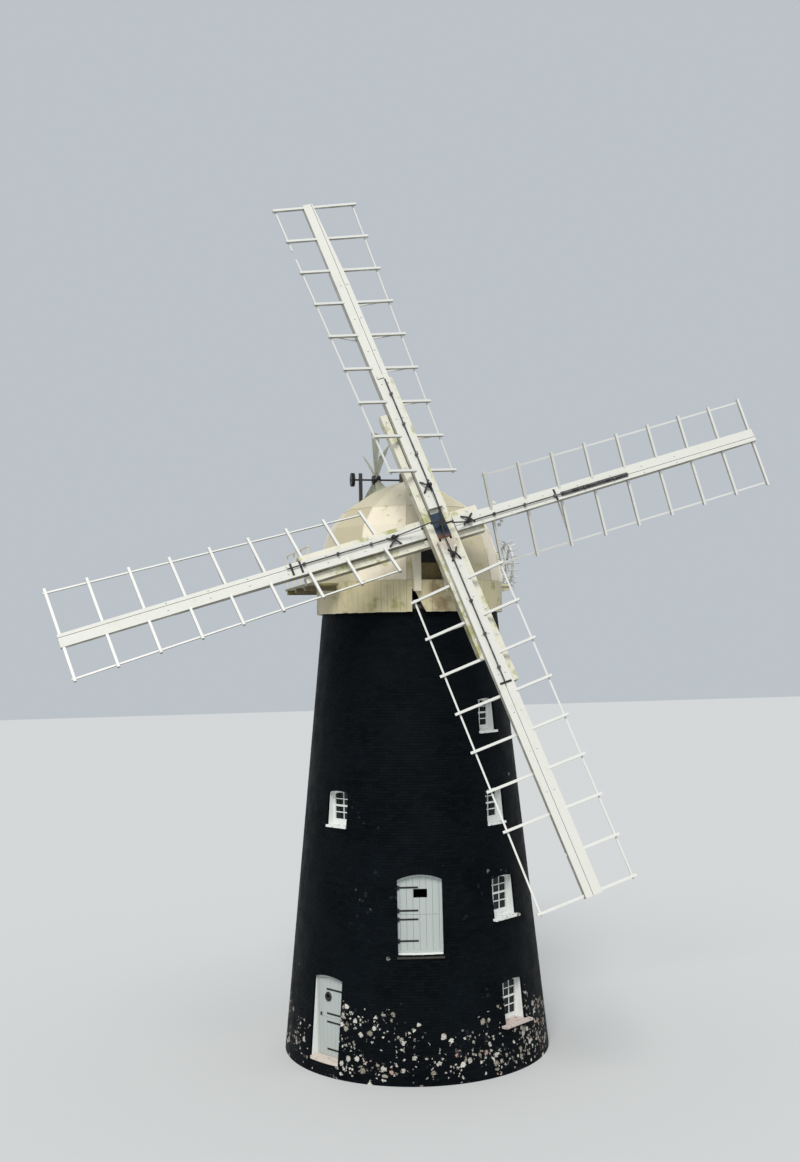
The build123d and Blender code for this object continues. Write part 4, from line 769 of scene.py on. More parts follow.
lay_blocks = laying_tree("Lay blocks", block_shape, "Thickness")
set_bolts = laying_tree("Set bolts", bolt_shape, "Radius", "Height")
hang_links = laying_tree("Hang links", link_shape, "Length", "Width", "Wire")
print("trees:", lay_blocks.name, set_bolts.name, hang_links.name)

# %% [markdown]
# A tree is run over a mesh of loose points, and what it makes is kept as a plain piece that rides on a
# body of the mill. The tree could find the points too, but writing them in Python keeps the trimming at
# doors and windows simple, and the tree keeps the thousands of blocks cheap.

# %% Helpers: run a tree and keep a piece


def show(name, mesh, body):
    """Makes a plain piece of a finished mesh, riding on a body."""
    piece = bpy.data.objects.new(name, mesh)
    scene.collection.objects.link(piece)
    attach(piece, body)
    mesh.calc_loop_triangles()
    print(name, len(mesh.loop_triangles), "triangles")
    return piece


def grow(name, tree, start, body, slot, finish, **values):
    """Runs a tree over a mesh and keeps what it makes as a plain piece."""
    carrier = bpy.data.objects.new(name + "_start", start)
    scene.collection.objects.link(carrier)
    modifier = carrier.modifiers.new("Grow", "NODES")
    modifier.node_group = tree
    keys = {item.name: item.identifier for item in tree.interface.items_tree
            if item.item_type == "SOCKET" and item.in_out == "INPUT"}
    for label, value in {**values, "Material": materials[finish]}.items():
        modifier[keys[label]] = value
    graph = bpy.context.evaluated_depsgraph_get()
    mesh = bpy.data.meshes.new_from_object(carrier.evaluated_get(graph), preserve_all_data_layers=True,
                                           depsgraph=graph)
    carrier.modifiers.remove(modifier)
    bpy.data.objects.remove(carrier)
    return show(name, mesh, body)


def point_mesh(rows):
    """A mesh of loose points, from rows of a place, a turn and, for blocks, a size."""
    mesh = bpy.data.meshes.new("points")
    mesh.from_pydata([row[0] for row in rows], [], [])
    turns = [tuple(row[1].to_euler()) for row in rows]
    sizes = [(*row[2], 0.0) if len(row) > 2 else (1.0, 1.0, 0.0) for row in rows]
    for label, values in (("turn", turns), ("size", sizes)):
        attribute = mesh.attributes.new(label, "FLOAT_VECTOR", "POINT")
        attribute.data.foreach_set("vector", [number for value in values for number in value])
    return mesh


print("growing helpers ready")

# %% [markdown]
# A block on the wall lies along it: its X runs round the tower, its Y up the batter and its Z out of
# the wall. Three angles could say so, but a small matrix that holds the three directions is easier to
# get right. A roll turns the bricks of an arch.

# %% Helpers: a place on the wall
BATTER_ANGLE = atan(TOWER_BATTER)


def facing(angle, batter=0.0, roll=0.0):
    """Axes of something that faces out of the tower at an angle: along, up and out."""
    along = Vector((-sin(angle), cos(angle), 0))
    out = Vector((cos(angle) * cos(batter), sin(angle) * cos(batter), sin(batter)))
    axes = Matrix((along, out.cross(along), out)).transposed()
    return axes @ Matrix.Rotation(roll, 3, "Z")


def on_wall(arc, height, angle, proud=0.0):
    """The point on the wall's outside that is an arc's length round from an angle."""
    radius = outer_radius(height)
    turned = angle + arc / radius
    return Vector(((radius + proud) * cos(turned), (radius + proud) * sin(turned), height)), turned


def on_face(axes, aside, level, out, *size):
    """A row for a flat face: so far aside of the tower's axis, up from the ground and out of it."""
    return (axes @ Vector((aside, level, out)), axes, *size)


print("batter", round(degrees(BATTER_ANGLE), 2), "degrees")

# %% [markdown]
# Courses run right round, and where an opening breaks one, its last brick is cut to fit the jamb. Over
# each opening the bricks make way for a ring of bricks on end. Cutting the finished wall with solid
# shapes would be slow and untidy, so each course is asked beforehand how much of it is left.

# %% Where the openings break a course
ARCH_RING = 0.215
MORTAR = 0.010


def arch_of(width, springing, rise):
    """Radius, centre height and half angle of a segmental arch."""
    radius = ((width / 2) ** 2 + rise ** 2) / (2 * rise)
    return radius, springing + rise - radius, asin(width / 2 / radius)


def half_gap(height, opening):
    """Half the width that an opening and its arch take out of a course, or 0."""
    angle, width, sill, springing, rise = opening
    if sill < height <= springing:
        return width / 2
    radius, centre, spread = arch_of(width, springing, rise)
    if springing < height < centre + radius + ARCH_RING:
        up = height - centre
        return min(sqrt(max((radius + ARCH_RING) ** 2 - up ** 2, 0)), up * tan(spread) + MORTAR)
    return 0.0


def course_pieces(height):
    """The stretches of wall between openings at a height, as angles."""
    radius = outer_radius(height)
    gaps = []
    for opening in openings:
        half = half_gap(height, opening)
        if half:
            spread = asin(half / radius)
            gaps.append((opening[0] % (2 * pi) - spread, opening[0] % (2 * pi) + spread))
    if not gaps:
        return [(0.0, 2 * pi)]
    gaps.sort()
    return [(gaps[i][1], gaps[(i + 1) % len(gaps)][0] + (2 * pi if i == len(gaps) - 1 else 0))
            for i in range(len(gaps))]


print("at 2 m the courses run in", len(course_pieces(2.0)), "stretches")

# %% [markdown]
# A tower's bond has a course of headers every few courses, to tie the thickness together. The bricks
# could be a picture on the wall, but laid as thin blocks they catch the light at their edges as real
# ones do. Their faces stand a few millimetres out of the measured wall, which shows in the joints.

# %% Lay the bricks
COURSE = 0.075
STRETCHER = 0.225
HEADER = 0.1075
HEADER_EVERY = 6
BRICK_THICKNESS = 0.016
BRICK_PROUD = -0.003
SHORTEST_BRICK = 0.030

bricks = []
for course in range(int(WALL_TOP / COURSE)):
    height = (course + 0.5) * COURSE
    radius = outer_radius(height)
    length = HEADER if course % HEADER_EVERY == 0 else STRETCHER
    pitch = 2 * pi / round(2 * pi * radius / (length + MORTAR))
    start = pitch / 2 * (course % 2)
    for low, high in course_pieces(height):
        for number in range(floor((low - start) / pitch), ceil((high - start) / pitch)):
            left = max(low, start + number * pitch + MORTAR / 2 / radius)
            right = min(high, start + (number + 1) * pitch - MORTAR / 2 / radius)
            size = (right - left) * radius
            if size > SHORTEST_BRICK:
                place, turned = on_wall(0, height, (left + right) / 2, BRICK_PROUD)
                bricks.append((place, facing(turned, BATTER_ANGLE), (size, COURSE - MORTAR)))
grow("brick_courses", lay_blocks, point_mesh(bricks), "tower", "brick", "Tarred bricks",
     Thickness=BRICK_THICKNESS, Seed=3)

# %% [markdown]
# An arch is a ring of bricks on end, an odd number of them so that one is the key. Each leans towards
# the centre that the arch was drawn from, so the same tree lays them with a roll. Windows have flat
# segmental arches and the doors taller ones.

# %% Brick arches
FEWEST_IN_ARCH = 5

voussoirs = []
for angle, width, sill, springing, rise in openings:
    radius, centre, spread = arch_of(width, springing, rise)
    middle = radius + ARCH_RING / 2
    count = max(FEWEST_IN_ARCH, round(2 * spread * middle / COURSE)) | 1
    for number in range(count):
        turn = spread * (2 * (number + 0.5) / count - 1)
        place, turned = on_wall(middle * sin(turn), centre + middle * cos(turn), angle, BRICK_PROUD)
        voussoirs.append((place, facing(turned, BATTER_ANGLE, -turn),
                          (2 * spread * radius / count - MORTAR, ARCH_RING - MORTAR)))
grow("brick_arches", lay_blocks, point_mesh(voussoirs), "tower", "brick", "Tarred bricks",
     Thickness=BRICK_THICKNESS, Seed=5)

# %% [markdown]
# Every window is a pair of sashes, four panes high, with a stout rail where the two meet and a broader
# one at the foot. The lower floors' windows are three panes wide and the upper ones two. The bars are
# moulded wood, painted white, and pass in front of and behind the sheet of glass. They are straight and
# many, so the tree that lays bricks makes them as well, from one list of points for all the windows.

# %% Glazing bars
WINDOW_RECESS = 0.170
FRAME_WIDTH = 0.060
FRAME_DEPTH = 0.080
SILL_HEIGHT = 0.060
BAR_WIDTH = 0.024
BAR_DEPTH = 0.040
MEETING_RAIL = 0.048
FOOT_RAIL = 0.070
RAIL_DEPTH = BAR_DEPTH + 0.016
ROWS = 4
WIDE_WINDOW = 0.75

bars, rails = [], []
for angle, width, sill, springing, rise in windows:
    wall = outer_radius(springing + rise)
    face = sqrt(wall ** 2 - (width / 2) ** 2) - WINDOW_RECESS - FRAME_DEPTH / 2
    across = 3 if width > WIDE_WINDOW else 2
    axes = facing(angle)
    inner = width - 2 * FRAME_WIDTH
    low, high = sill + SILL_HEIGHT + FRAME_WIDTH, springing - FRAME_WIDTH + rise
    glazed = high - low - FOOT_RAIL
    for number in range(1, across):
        bars.append(on_face(axes, inner * (number / across - 0.5), (low + high) / 2, face,
                            (BAR_WIDTH, high - low)))
    for number in (1, ROWS - 1):
        level = low + FOOT_RAIL + glazed * number / ROWS
        bars.append(on_face(axes, 0, level, face, (inner, BAR_WIDTH)))
    rails.append(on_face(axes, 0, low + FOOT_RAIL + glazed / 2, face, (inner, MEETING_RAIL)))
    rails.append(on_face(axes, 0, low + FOOT_RAIL / 2, face, (inner, FOOT_RAIL)))
grow("window_bars", lay_blocks, point_mesh(bars), "tower", "door_paint", "Sash white",
     Thickness=BAR_DEPTH, Seed=7)
grow("window_rails", lay_blocks, point_mesh(rails), "tower", "door_paint", "Sash white",
     Thickness=RAIL_DEPTH, Seed=8)

# %% [markdown]
# A ledged door is upright boards nailed to crosspieces, with a hair's gap between them that opens and
# shuts with the weather. The measured leaf is one slab with its hole in it, so new boards would have to
# be cut round that hole. It is sawn instead: a copy is cut by a pair of planes for each board, its cut
# faces are closed, and its edges are eased.

# %% Helpers: saw a part into boards
BOARD_GAP = 0.004
BOARD_EASE = 0.003
BOARD_SHARP = 60
SAME_CORNER = 0.0002
SAME_FACE = radians(1.5)
EASE_PROFILE = 0.6
TONE_PACE = 2.7


def merged(node_name):
    """The measured mesh as a solid with shared corners and whole flat faces."""
    shape = bmesh.new()
    shape.from_mesh(nodes[node_name].data)
    bmesh.ops.remove_doubles(shape, verts=shape.verts, dist=SAME_CORNER)
    bmesh.ops.dissolve_limit(shape, angle_limit=SAME_FACE, verts=shape.verts, edges=shape.edges)
    return shape


def ease_edges(shape, width, sharpest=35, segments=2):
    """Rounds the edges that are sharper than so many degrees."""
    sharp = [edge for edge in shape.edges if len(edge.link_faces) == 2
             and edge.calc_face_angle(0) > radians(sharpest)]
    bmesh.ops.bevel(shape, geom=sharp, offset=width, segments=segments, profile=EASE_PROFILE,
                    affect="EDGES", clamp_overlap=True)
    bmesh.ops.triangulate(shape, faces=[face for face in shape.faces if len(face.verts) > 4])


def one_board(whole, planes):
    """What is left of a solid between planes, closed and eased."""
    board = whole.copy()
    for place, normal in planes:
        bmesh.ops.bisect_plane(board, geom=board.verts[:] + board.edges[:] + board.faces[:], dist=1e-6,
                               plane_co=place - normal * BOARD_GAP / 2, plane_no=normal,
                               clear_outer=True)
    bmesh.ops.holes_fill(board, edges=[edge for edge in board.edges if edge.is_boundary])
    ease_edges(board, BOARD_EASE, BOARD_SHARP, 1)
    board.verts.index_update()
    return board


def sawn(node_name, cuts, finish, seed, settle=None):
    """Saws a measured part into boards, one for each pair of planes, to stand in for it."""
    whole = merged(node_name)
    points, faces, tones = [], [], []
    for number, planes in enumerate(cuts):
        board = one_board(whole, planes)
        faces += [[len(points) + vert.index for vert in face.verts] for face in board.faces]
        points += [settle(vert.co, number) if settle else vert.co.copy() for vert in board.verts]
        tones += [abs(sin(seed + number * TONE_PACE))] * len(board.verts)
        board.free()
    whole.free()
    mesh = bpy.data.meshes.new(node_name + "_boards")
    mesh.from_pydata(points, [], faces)
    mesh.attributes.new("tone", "FLOAT", "POINT").data.foreach_set("value", tones)
    mesh.materials.append(materials[finish])
    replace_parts(show(node_name + "_boards", mesh, body_of[node_name]), node_name)


print("sawing helpers ready, with gaps of", BOARD_GAP, "m")

# %% [markdown]
# The ground door's two leaves and the loading door's pair are sawn. Their planes stand upright and an
# equal step apart, so the boards come out equally wide whatever the width of the leaf.

# %% Boards of the doors
GROUND_BOARD = 0.145
LOADING_BOARD = 0.165


def door_cuts(node_name, angle, width):
    """Pairs of planes for the upright boards of a flat leaf."""
    along = Vector((-sin(angle), cos(angle), 0))
    reach = [along.dot(vert.co) for vert in nodes[node_name].data.vertices]
    count = round((max(reach) - min(reach)) / width)
    edges = [min(reach) + (max(reach) - min(reach)) * number / count for number in range(count + 1)]
    return [((along * low, -along), (along * high, along)) for low, high in zip(edges, edges[1:])]


for leaf, column, width, seed in (("door_leaf_lower", DOOR_COLUMN, GROUND_BOARD, 1.0),
                                  ("door_leaf_upper", DOOR_COLUMN, GROUND_BOARD, 1.0),
                                  ("loading_door_leaves", FRONT_COLUMN, LOADING_BOARD, 2.0)):
    sawn(leaf, door_cuts(leaf, column, width), "Door white", seed)

# %% [markdown]
# The smith's work on the ground door: clenched nails along every strap, a latch on the upper leaf and a
# black ring that lines its hand hole; the ring also widens the hole's dark, as painted shade. Each is
# one of the laid shapes, a bolt, a block or a link, so it only has to be told its place, aside and up on
# the face of the leaf, and it rides on the leaf's body.

# %% Ironwork of the ground door
GROUND_FACE = 3.2525
STRAP_OUT = 0.009
STRAP_LEVELS = {"door_lower": (0.560, 1.250), "door_upper": (1.460, 2.080)}
STRAP_NAILS = (-0.11, 0.03, 0.17, 0.31)
NAIL_RADIUS = 0.007
NAIL_HEIGHT = 0.005
LATCH_ASIDE = -0.350
LATCH_LEVEL = 1.420
LATCH_SIZE = (0.050, 0.075)
HOLE_ASIDE = -0.080
HOLE_LEVEL = 1.890
RING_OUT = 0.004


def smithing(name, tree, rows, body, seed, **sizes):
    grow(name, tree, point_mesh(rows), body, "black_iron", "Black iron", Seed=seed, **sizes)


axes = facing(DOOR_COLUMN)
for body, levels in STRAP_LEVELS.items():
    nails = [on_face(axes, aside, level, GROUND_FACE + STRAP_OUT)
             for level in levels for aside in STRAP_NAILS]
    smithing(body + "_nails", set_bolts, nails, body, 1, Radius=NAIL_RADIUS, Height=NAIL_HEIGHT)
latch = on_face(axes, LATCH_ASIDE, LATCH_LEVEL, GROUND_FACE + STRAP_OUT, LATCH_SIZE)
smithing("door_latch", lay_blocks, [latch], "door_upper", 2, Thickness=0.020)
# The black ring widens the dark of the hand hole, in part as painted shade.
ring = on_face(axes, HOLE_ASIDE, HOLE_LEVEL, GROUND_FACE + RING_OUT)
smithing("hole_ring", hang_links, [ring], "door_upper", 2, Length=0.180, Width=0.170, Wire=0.034)

# %% [markdown]
# The loading door has nails along its four straps too, and the pintles in its left jamb on which they
# hang. A tarred sill of wood runs under it, a little wider than the opening and standing out from the
# wall, so that rain drips clear. It is one block, set on the wall and not on the leaf.

# %% Ironwork and sill of the loading door
LOADING_FACE = 2.9601
LOADING_STRAPS = (3.420, 3.960, 4.180, 4.760)
LOADING_NAILS = (-0.42, -0.30, -0.18, -0.08)
PINTLE_ASIDE = -0.545
PINTLE_OUT = 0.014
PINTLE_SIZE = (0.060, 0.105)
SILL_DROP = 0.040
SILL_SIZE = (1.200, 0.045)

axes = facing(FRONT_COLUMN)
nails = [on_face(axes, aside, level, LOADING_FACE + STRAP_OUT)
         for level in LOADING_STRAPS for aside in LOADING_NAILS]
smithing("loading_nails", set_bolts, nails, "tower", 2, Radius=NAIL_RADIUS, Height=NAIL_HEIGHT)
pintles = [on_face(axes, PINTLE_ASIDE, level, LOADING_FACE + PINTLE_OUT, PINTLE_SIZE)
           for level in LOADING_STRAPS]
smithing("loading_pintles", lay_blocks, pintles, "tower", 2, Thickness=0.030)
place, turned = on_wall(0, LOADING_DOOR[1] - SILL_DROP, FRONT_COLUMN)
grow("loading_sill", lay_blocks, point_mesh([(place, facing(turned), SILL_SIZE)]), "tower",
     "dark_timber", "Tarred timber", Thickness=0.060, Seed=2)

# %% [markdown]
# The skirt under the dome is a ring of upright boards, painted cream. One board by the front has split
# away, and the wet that gets in there has stained its neighbours brown. The stain is laid over the
# weathered paint by the distance round the cap, and a noise breaks it up. A paler line runs along the
# boards' lower ends. Painting it by hand on an unwrapped mesh would do as well, but takes a map.

# %% Material: skirt
SKIRT_BOTTOM = 11.760
SKIRT_STAIN = (0.20, 0.12, 0.05)
BOARD_TINT = (0.40, 0.36, 0.20)
CUT_END = (0.74, 0.70, 0.58)

tree = new_material("Skirt cream")
round_cap = use_group(tree, around, {})
arc, place = round_cap["Arc"], round_cap["Place"]
coat = weather(tree, place, (0.60, 0.53, 0.33), (0.33, 0.30, 0.15), (0.27, 0.28, 0.08), PALE_WOOD,
               (0.52, 0.42, 0.06), 0.5)
stained = times(tree, ramp(tree, arc, -0.15, 0.0), ramp(tree, arc, 0.45, 0.65, 1.0, 0.0),
                ramp(tree, noise(tree, place, 2.6), 0.38, 0.60), 0.70)
colour = coat["Colour"]
for share, tint in ((times(tree, read_tone(tree), 0.16), BOARD_TINT), (stained, SKIRT_STAIN),
                    (ramp(tree, round_cap["Height"], SKIRT_BOTTOM, SKIRT_BOTTOM + 0.05, 0.35, 0.0),
                     CUT_END)):
    colour = blend_colours(tree, share, colour, tint)
finish_material(tree, colour, coat["Roughness"], coat["Height"], 0.25)
print(len(materials), "materials")

# %% [markdown]
# The skirt's boards were cut by hand, so each hangs a little lower or higher and stands a hair in or
# out. The measured skirt already has the split board's gap and the holes for the cap's long beams, so
# it is sawn as the doors are, by planes through the tower's axis, and each board is let down and out by
# its own amount. Sines of its number give that amount, the same on each run.

# %% Skirt boards
SKIRT_BOARDS = 96
HANG = 0.007
STAND = 0.002
BOARD_END = 0.020


def settle_skirt(corner, number):
    uneven = sin(number * 7.3) * 0.5 + sin(number * 2.9) * 0.5
    low = HANG * uneven if corner.z < SKIRT_BOTTOM + BOARD_END else 0.0
    outward = Vector((corner.x, corner.y, 0)).normalized()
    return corner - outward * STAND * (1 - uneven) + Vector((0, 0, low + HANG if low else 0.0))


axis_foot = Vector((0, 0, 0))
skirt_cuts = []
for number in range(SKIRT_BOARDS):
    angles = [(number + side) * 2 * pi / SKIRT_BOARDS for side in (0, 1)]
    first, last = [Vector((-sin(angle), cos(angle), 0)) for angle in angles]
    skirt_cuts.append(((axis_foot, -first), (axis_foot, last)))
sawn("petticoat", skirt_cuts, "Skirt cream", 3.0, settle_skirt)

# %% [markdown]
# Thin things that follow a line come next: rolls on the dome's ridges, the chain wheel's forks and the
# crossed bars on the sails. Each could be a curve object with a bevel. A tree that sweeps a small
# section along edges does the same for many lines at once, and makes a plain mesh with closed ends.

# %% Tree: run a strip along lines
STRIP_CORNERS = 6


def line_mesh(lines):
    """A mesh of edges only, from lists of points."""
    mesh = bpy.data.meshes.new("lines")
    points, edges = [], []
    for line in lines:
        edges += [(len(points) + i, len(points) + i + 1) for i in range(len(line) - 1)]
        points += line
    mesh.from_pydata(points, edges, [])
    return mesh


run_strip, given = new_geometry_tree("Run a strip", {
    "Lines": GEOMETRY, "Radius": FLOAT, "Sides": WHOLE, "Material": MATERIAL}, "Strip")
line = put(run_strip, "GeometryNodeMeshToCurve", {"Mesh": given["Lines"]})
section = put(run_strip, "GeometryNodeCurvePrimitiveCircle", {"Resolution": given["Sides"],
                                                              "Radius": given["Radius"]})
swept = put(run_strip, "GeometryNodeCurveToMesh", {
    "Curve": line.outputs[0], "Profile Curve": section.outputs["Curve"], "Fill Caps": True})
end_geometry_tree(run_strip, given, swept.outputs[0], "Strip")
print("tree:", run_strip.name)

# %% [markdown]
# The dome is twelve gores of flat panels. A thin roll covers each ridge where two panels meet, to shed
# the rain, and a strip covers the joint between the upper and the lower panels. Both follow the dome's
# own profile, so its few radii and heights are all that the lines need.

# %% Dome ridges
DOME_PROFILE = ((2.600, 12.600), (2.480, 13.300), (2.230, 14.100), (1.790, TOP_JOINT), (1.000, 15.140),
                (0.400, 15.370), (0.120, 15.440))
TOP_JOINT_RADIUS = DOME_PROFILE[3][0]
RIDGE_RADIUS = 0.016


def on_dome(angle, radius, height):
    return Vector((radius * cos(angle), radius * sin(angle), height))


corners = [pi / DOME_SIDES + number * 2 * pi / DOME_SIDES for number in range(DOME_SIDES)]
ridges = [[on_dome(angle, *level) for level in DOME_PROFILE] for angle in corners]
ridges += [[on_dome(angle, TOP_JOINT_RADIUS, TOP_JOINT) for angle in pair]
           for pair in zip(corners, corners[1:] + corners[:1])]
grow("dome_ridges", run_strip, line_mesh(ridges), "cap", "cap_paint", "Dome paint",
     Radius=RIDGE_RADIUS, Sides=STRIP_CORNERS)

# %% [markdown]
# The endless chain that turns the cap by hand hangs from a wheel on the right. Round the wheel's rim
# stand wide forks that guide the chain back on, each a bent bar, so each is a line of three points. A
# brace of wood holds the wheel's post to the dome; it is one block, turned to the slope between them.

# %% Forks and brace of the chain wheel
WHEEL = Vector((2.960, 0.300, 13.150))
WHEEL_RADIUS = 0.600
FORKS = 20
FORK_ROOT = 0.006
FORK_REACH = 0.085
FORK_SPREAD = 0.145
FORK_RADIUS = 0.020
BRACE_MIDDLE = Vector((2.530, 0.300, 13.480))
BRACE_RUN = Vector((0.340, 0, -0.520))
BRACE_SIZE = (0.660, 0.110)

forks = []
for number in range(FORKS):
    turn = number * 2 * pi / FORKS
    out = Vector((0, cos(turn), sin(turn)))
    root = WHEEL + out * (WHEEL_RADIUS - FORK_ROOT)
    tip = WHEEL + out * (WHEEL_RADIUS + FORK_REACH)
    forks.append([tip + Vector((side * FORK_SPREAD, 0, 0)) if side else root for side in (-1, 0, 1)])
grow("wheel_forks", run_strip, line_mesh(forks), "cap", "black_iron", "Grey iron",
     Radius=FORK_RADIUS, Sides=STRIP_CORNERS)

slope, level = BRACE_RUN.normalized(), Vector((0, 1, 0))
brace_axes = Matrix((slope, level, slope.cross(level))).transposed()
grow("wheel_brace", lay_blocks, point_mesh([(BRACE_MIDDLE, brace_axes, BRACE_SIZE)]), "cap",
     "cap_paint", "Cap cream", Thickness=0.070, Seed=1)

# %% [markdown]
# The measured chain is one plain rod, and a chain is what the eye knows best, so every link is made. A
# chain's links are rings turned crosswise one after another, each a little longer than the step between
# them, so that it reaches into the next. They stand in for the rod.

# %% Chain
CHAIN_LINE = Vector((2.960, -0.312, 0))
CHAIN_SPAN = (12.100, 13.150)
LINKS = 22
LINK_REACH = 1.25
LINK_WIDTH = 0.034
LINK_WIRE = 0.0055

link_pitch = (CHAIN_SPAN[1] - CHAIN_SPAN[0]) / LINKS
links = [(CHAIN_LINE + Vector((0, 0, CHAIN_SPAN[0] + (number + 0.5) * link_pitch)),
          facing(pi / 2 * (number % 2))) for number in range(LINKS)]
chain_links = grow("chain_links", hang_links, point_mesh(links), "cap", "black_iron", "Grey iron",
                   Length=link_pitch * LINK_REACH, Width=LINK_WIDTH, Wire=LINK_WIRE, Seed=1)
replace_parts(chain_links, "wheel_chain")

# %% [markdown]
# A sail has its own axes: X across it, Y back towards the hub and Z forwards along the shaft. Everything
# on a sail is placed in them, as its distance out from the hub, its step aside and its step forwards.
# Four turned copies of one sail would be less work, but the four differ, so each has its own numbers:
# its turn, how far forwards its stock lies, and how far out its whip's straps are.

# %% Sail axes
SAILS = {"top": (0, 0.150, ()), "left": (90, -0.150, (3.74, 3.98)), "lower": (180, 0.150, (4.35,)),
         "right": (270, -0.150, (3.40,))}
WHIP_FRONT = 0.270


def sail_axes(turn):
    """Columns: across the sail, back to the hub, forwards; then out, across and forwards alone."""
    angle = SAIL_TURN + radians(turn)
    out = Vector((-sin(angle), cos(angle) * sin(SHAFT_TILT), cos(angle) * cos(SHAFT_TILT)))
    forwards = Vector((0, -cos(SHAFT_TILT), sin(SHAFT_TILT)))
    lead = forwards.cross(out)
    return Matrix((lead, -out, forwards)).transposed(), out, lead, forwards


print("sails:", {name: len(levels) for name, (turn, depth, levels) in SAILS.items()}, "straps")

# %% [markdown]
# Iron straps cross the whips where their two boards are joined, the top sail has a wooden pad there, and
# crossed bars brace each crank of the striking gear. The bars are lines of three points, which the strip
# tree sweeps, bowed from the crank down to the whip.

# %% Straps, pad and crossed bars
STRAP_ASIDE = 0.050
STRAP_SIZE = (0.320, 0.055)
PAD_LEVEL = 4.30
PAD_ASIDE = 0.010
PAD_SIZE = (0.170, 0.090)
OVER_WHIP = 0.003
CRANKS = {"top": 1.050, "left": 1.250, "lower": 0.870, "right": 0.830}
CRANK_RISE = 0.110
CROSS_OUT = 0.16
CROSS_ASIDE = 0.12
CROSS_BOW = 0.9

straps, pads, crosses = [], [], []
for name, (turn, depth, levels) in SAILS.items():
    axes, out, lead, forwards = sail_axes(turn)
    crank = HUB + out * CRANKS[name] + forwards * (depth + WHIP_FRONT + CRANK_RISE)
    for side in (-1, 1):
        crosses.append([crank - out * CROSS_OUT * end + lead * side * end * CROSS_ASIDE
                        - forwards * (CRANK_RISE * abs(end) * CROSS_BOW) for end in (-1, 0, 1)])
    front = forwards * (depth + WHIP_FRONT + OVER_WHIP)
    straps += [(HUB + out * level - lead * STRAP_ASIDE + front, axes, STRAP_SIZE) for level in levels]
    if name == "top":
        pads.append((HUB + out * PAD_LEVEL + lead * PAD_ASIDE + front, axes, PAD_SIZE))
smithing("sail_straps", lay_blocks, straps, "sails", 4, Thickness=0.010)
grow("whip_pad", lay_blocks, point_mesh(pads), "sails", "sail_paint", "Spar white",
     Thickness=0.050, Seed=4)
grow("crank_crosses", run_strip, line_mesh(crosses), "sails", "black_iron", "Black iron",
     Radius=0.023, Sides=STRIP_CORNERS)

# %% [markdown]
# Sails are bolted to their stocks and the clamps to the hub. Two rows of bolt heads run down each whip,
# and each bolt through the clamps has a square washer at either end. They are painted over with the
# spars. Lists of distances from the hub place them, and the trees for bolts and blocks do the rest.

# %% Washers and bolts
WHIP_BOLTS = (0.80, 1.20, 2.05, 3.05, 4.10, 5.10, 6.10, 7.15)
BOLTS_ASIDE = (0.035, -0.150)
WHIP_BOLT_OUT = 0.002
CLAMP_BOLTS = (0.45, 0.95, 1.75, 2.40, 3.10)
REAR_CLAMP_BOLTS = CLAMP_BOLTS[:3]
CLAMP_ASIDE = 0.2725
CLAMP_HALF = 0.1175
WASHER_SIZE = (0.085, 0.085)
WASHER_OUT = 0.010

bolts, washers = [], []
for turn, depth, levels in SAILS.values():
    axes, out, lead, forwards = sail_axes(turn)
    for distance in WHIP_BOLTS:
        for aside in BOLTS_ASIDE:
            bolts.append((HUB + out * distance + lead * aside
                          + forwards * (depth + WHIP_FRONT + WHIP_BOLT_OUT), axes))
    for distance in REAR_CLAMP_BOLTS if depth < 0 else CLAMP_BOLTS:
        for side in (-1, 1):
            for end in (-1, 1):
                place = (HUB + out * distance + lead * side * CLAMP_ASIDE
                         + forwards * (depth + end * CLAMP_HALF))
                washers.append((place, axes, WASHER_SIZE))
                bolts.append((place + forwards * end * WASHER_OUT, axes))
grow("sail_washers", lay_blocks, point_mesh(washers), "sails", "sail_paint", "Spar white",
     Thickness=0.014, Seed=4)
grow("sail_bolts", set_bolts, point_mesh(bolts), "sails", "sail_paint", "Spar white",
     Radius=0.024, Height=0.016, Seed=4)

# %% [markdown]
# Sharp edges give a computed beam away, while real timber is planed round at its edges and castings
# leave the mould rounded. A Bevel modifier could do it, but the measured meshes are loose triangles. So
# a part is copied, its triangles are joined, the edges inside flat faces are taken away and what is left
# is rounded by a few millimetres. The copy stands in for the part, in the same place.

# %% Ease the edges of timbers and castings
EASED = {
    "stocks": 0.008, "clamps_front": 0.008, "clamps_rear": 0.008, "whips": 0.006,
    "breast_posts": 0.008, "weather_beam": 0.012, "door_frame": 0.004, "loading_door_frame": 0.004,
    "fan_posts": 0.006, "fan_stage": 0.006, "side_gallery": 0.006, "gallery_rail": 0.005,
    "window_sills": 0.005, "wheel_bracket": 0.005, "poll_end": 0.010, "cap_frame": 0.010,
    "window_frames": 0.004,
}
for name, width in EASED.items():
    mesh = nodes[name].data.copy()
    shape = merged(name)
    ease_edges(shape, width)
    shape.to_mesh(mesh)
    shape.free()
    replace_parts(show(name + "_eased", mesh, body_of[name]), name)

# %% [markdown]
# The view is the photograph's: a long lens from mid height, a little to the left of the sails, turned
# by a degree. It could be found by eye, but the tower's outline and the horizon fix it more closely.
# Blender wants the lens for the longer side of its sensor, so the focal length in pixels is scaled by
# the picture's height.

# %% Camera
PHOTO_HEIGHT = 1162
FOCAL_PIXELS = 1267.94
SENSOR = 36.0
FARTHEST = 500
CAMERA_DISTANCE = 35.454
CAMERA_AZIMUTH = radians(13.43)
CAMERA_HEIGHT = 11.103
HEADING = radians(13.02)
PITCH = radians(2.549)
ROLL = radians(-0.972)

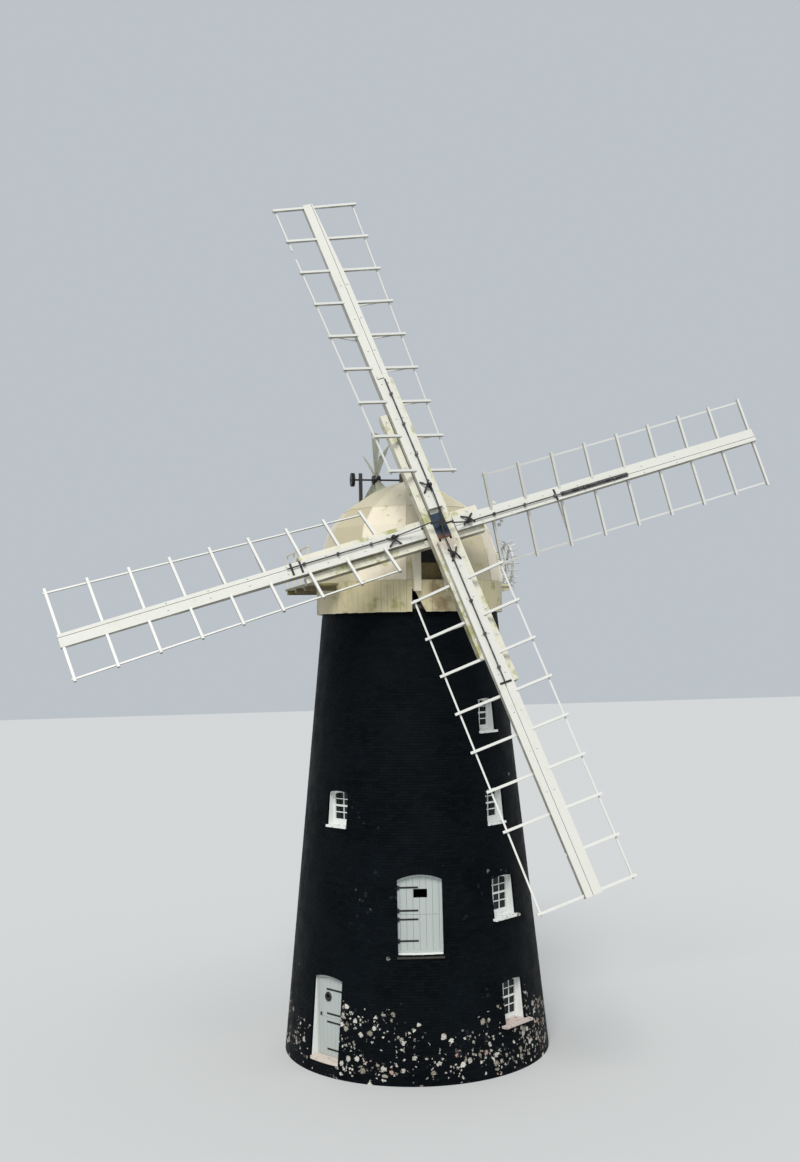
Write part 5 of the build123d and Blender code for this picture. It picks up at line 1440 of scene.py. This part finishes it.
lens = bpy.data.cameras.new("View")
lens.lens = SENSOR * FOCAL_PIXELS / PHOTO_HEIGHT
lens.sensor_width = SENSOR
lens.clip_end = FARTHEST
camera = bpy.data.objects.new("View", lens)
turn = (Matrix.Rotation(-HEADING, 4, "Z") @ Matrix.Rotation(pi / 2 + PITCH, 4, "X")
        @ Matrix.Rotation(ROLL, 4, "Z"))
stand = Matrix.Translation((-CAMERA_DISTANCE * sin(CAMERA_AZIMUTH),
                            -CAMERA_DISTANCE * cos(CAMERA_AZIMUTH), CAMERA_HEIGHT))
camera.matrix_world = stand @ turn
scene.collection.objects.link(camera)
scene.camera = camera
print("camera", [round(x, 3) for x in camera.location])

# %% [markdown]
# The floor is one pale sheet, so large that its edge is far off in any view. A curved backdrop would do
# in a studio, but the mill is tall, and a flat floor keeps its shadow plain.

# %% Floor
FLOOR_HALF = 160.0

floor_mesh = bpy.data.meshes.new("floor")
corners = [(x * FLOOR_HALF, y * FLOOR_HALF, 0) for x, y in ((-1, -1), (1, -1), (1, 1), (-1, 1))]
floor_mesh.from_pydata(corners, [], [(0, 1, 2, 3)])
finish_material(new_material("Pale floor"), (0.58, 0.59, 0.59), 0.9)
floor_mesh.materials.append(materials["Pale floor"])
ground = bpy.data.objects.new("floor", floor_mesh)
scene.collection.objects.link(ground)
print("floor", 2 * FLOOR_HALF, "m wide")

# %% [markdown]
# The light is that of an overcast day in a studio: an even pale world and one broad soft lamp from the
# front, high up. Rays that the camera, a gloss or the glass sends out see a pale grey instead of the
# lighting world, so that the white sails stay readable against it.

# %% Light and world
LAMP_WIDTH = radians(25)
LAMP_TURN = Euler((radians(42), 0, radians(-20)))

world = bpy.data.worlds.new("Overcast")
scene.world = world
world.use_nodes = True
tree = world.node_tree
tree.nodes.clear()
rays = tree.nodes.new("ShaderNodeLightPath").outputs
seen = maths(tree, "MAXIMUM", rays["Is Camera Ray"],
             maths(tree, "MAXIMUM", rays["Is Glossy Ray"], rays["Is Transmission Ray"]))
light = put(tree, "ShaderNodeBackground", {"Color": (0.93, 0.96, 1.0), "Strength": 0.62})
backdrop = put(tree, "ShaderNodeBackground", {"Color": (0.50, 0.54, 0.58), "Strength": 1.0})
mixed = put(tree, "ShaderNodeMixShader", {0: seen, 1: light.outputs[0], 2: backdrop.outputs[0]})
put(tree, "ShaderNodeOutputWorld", {"Surface": mixed.outputs[0]})

lamp = bpy.data.lights.new("Soft lamp", "SUN")
lamp.energy = 2.4
lamp.angle = LAMP_WIDTH
lamp.color = (1.0, 0.985, 0.95)
sun = bpy.data.objects.new("Soft lamp", lamp)
sun.rotation_euler = LAMP_TURN
scene.collection.objects.link(sun)
scene.view_settings.view_transform = "Standard"
print("lamp of strength", round(lamp.energy, 2), "and a world with", len(tree.nodes), "nodes")
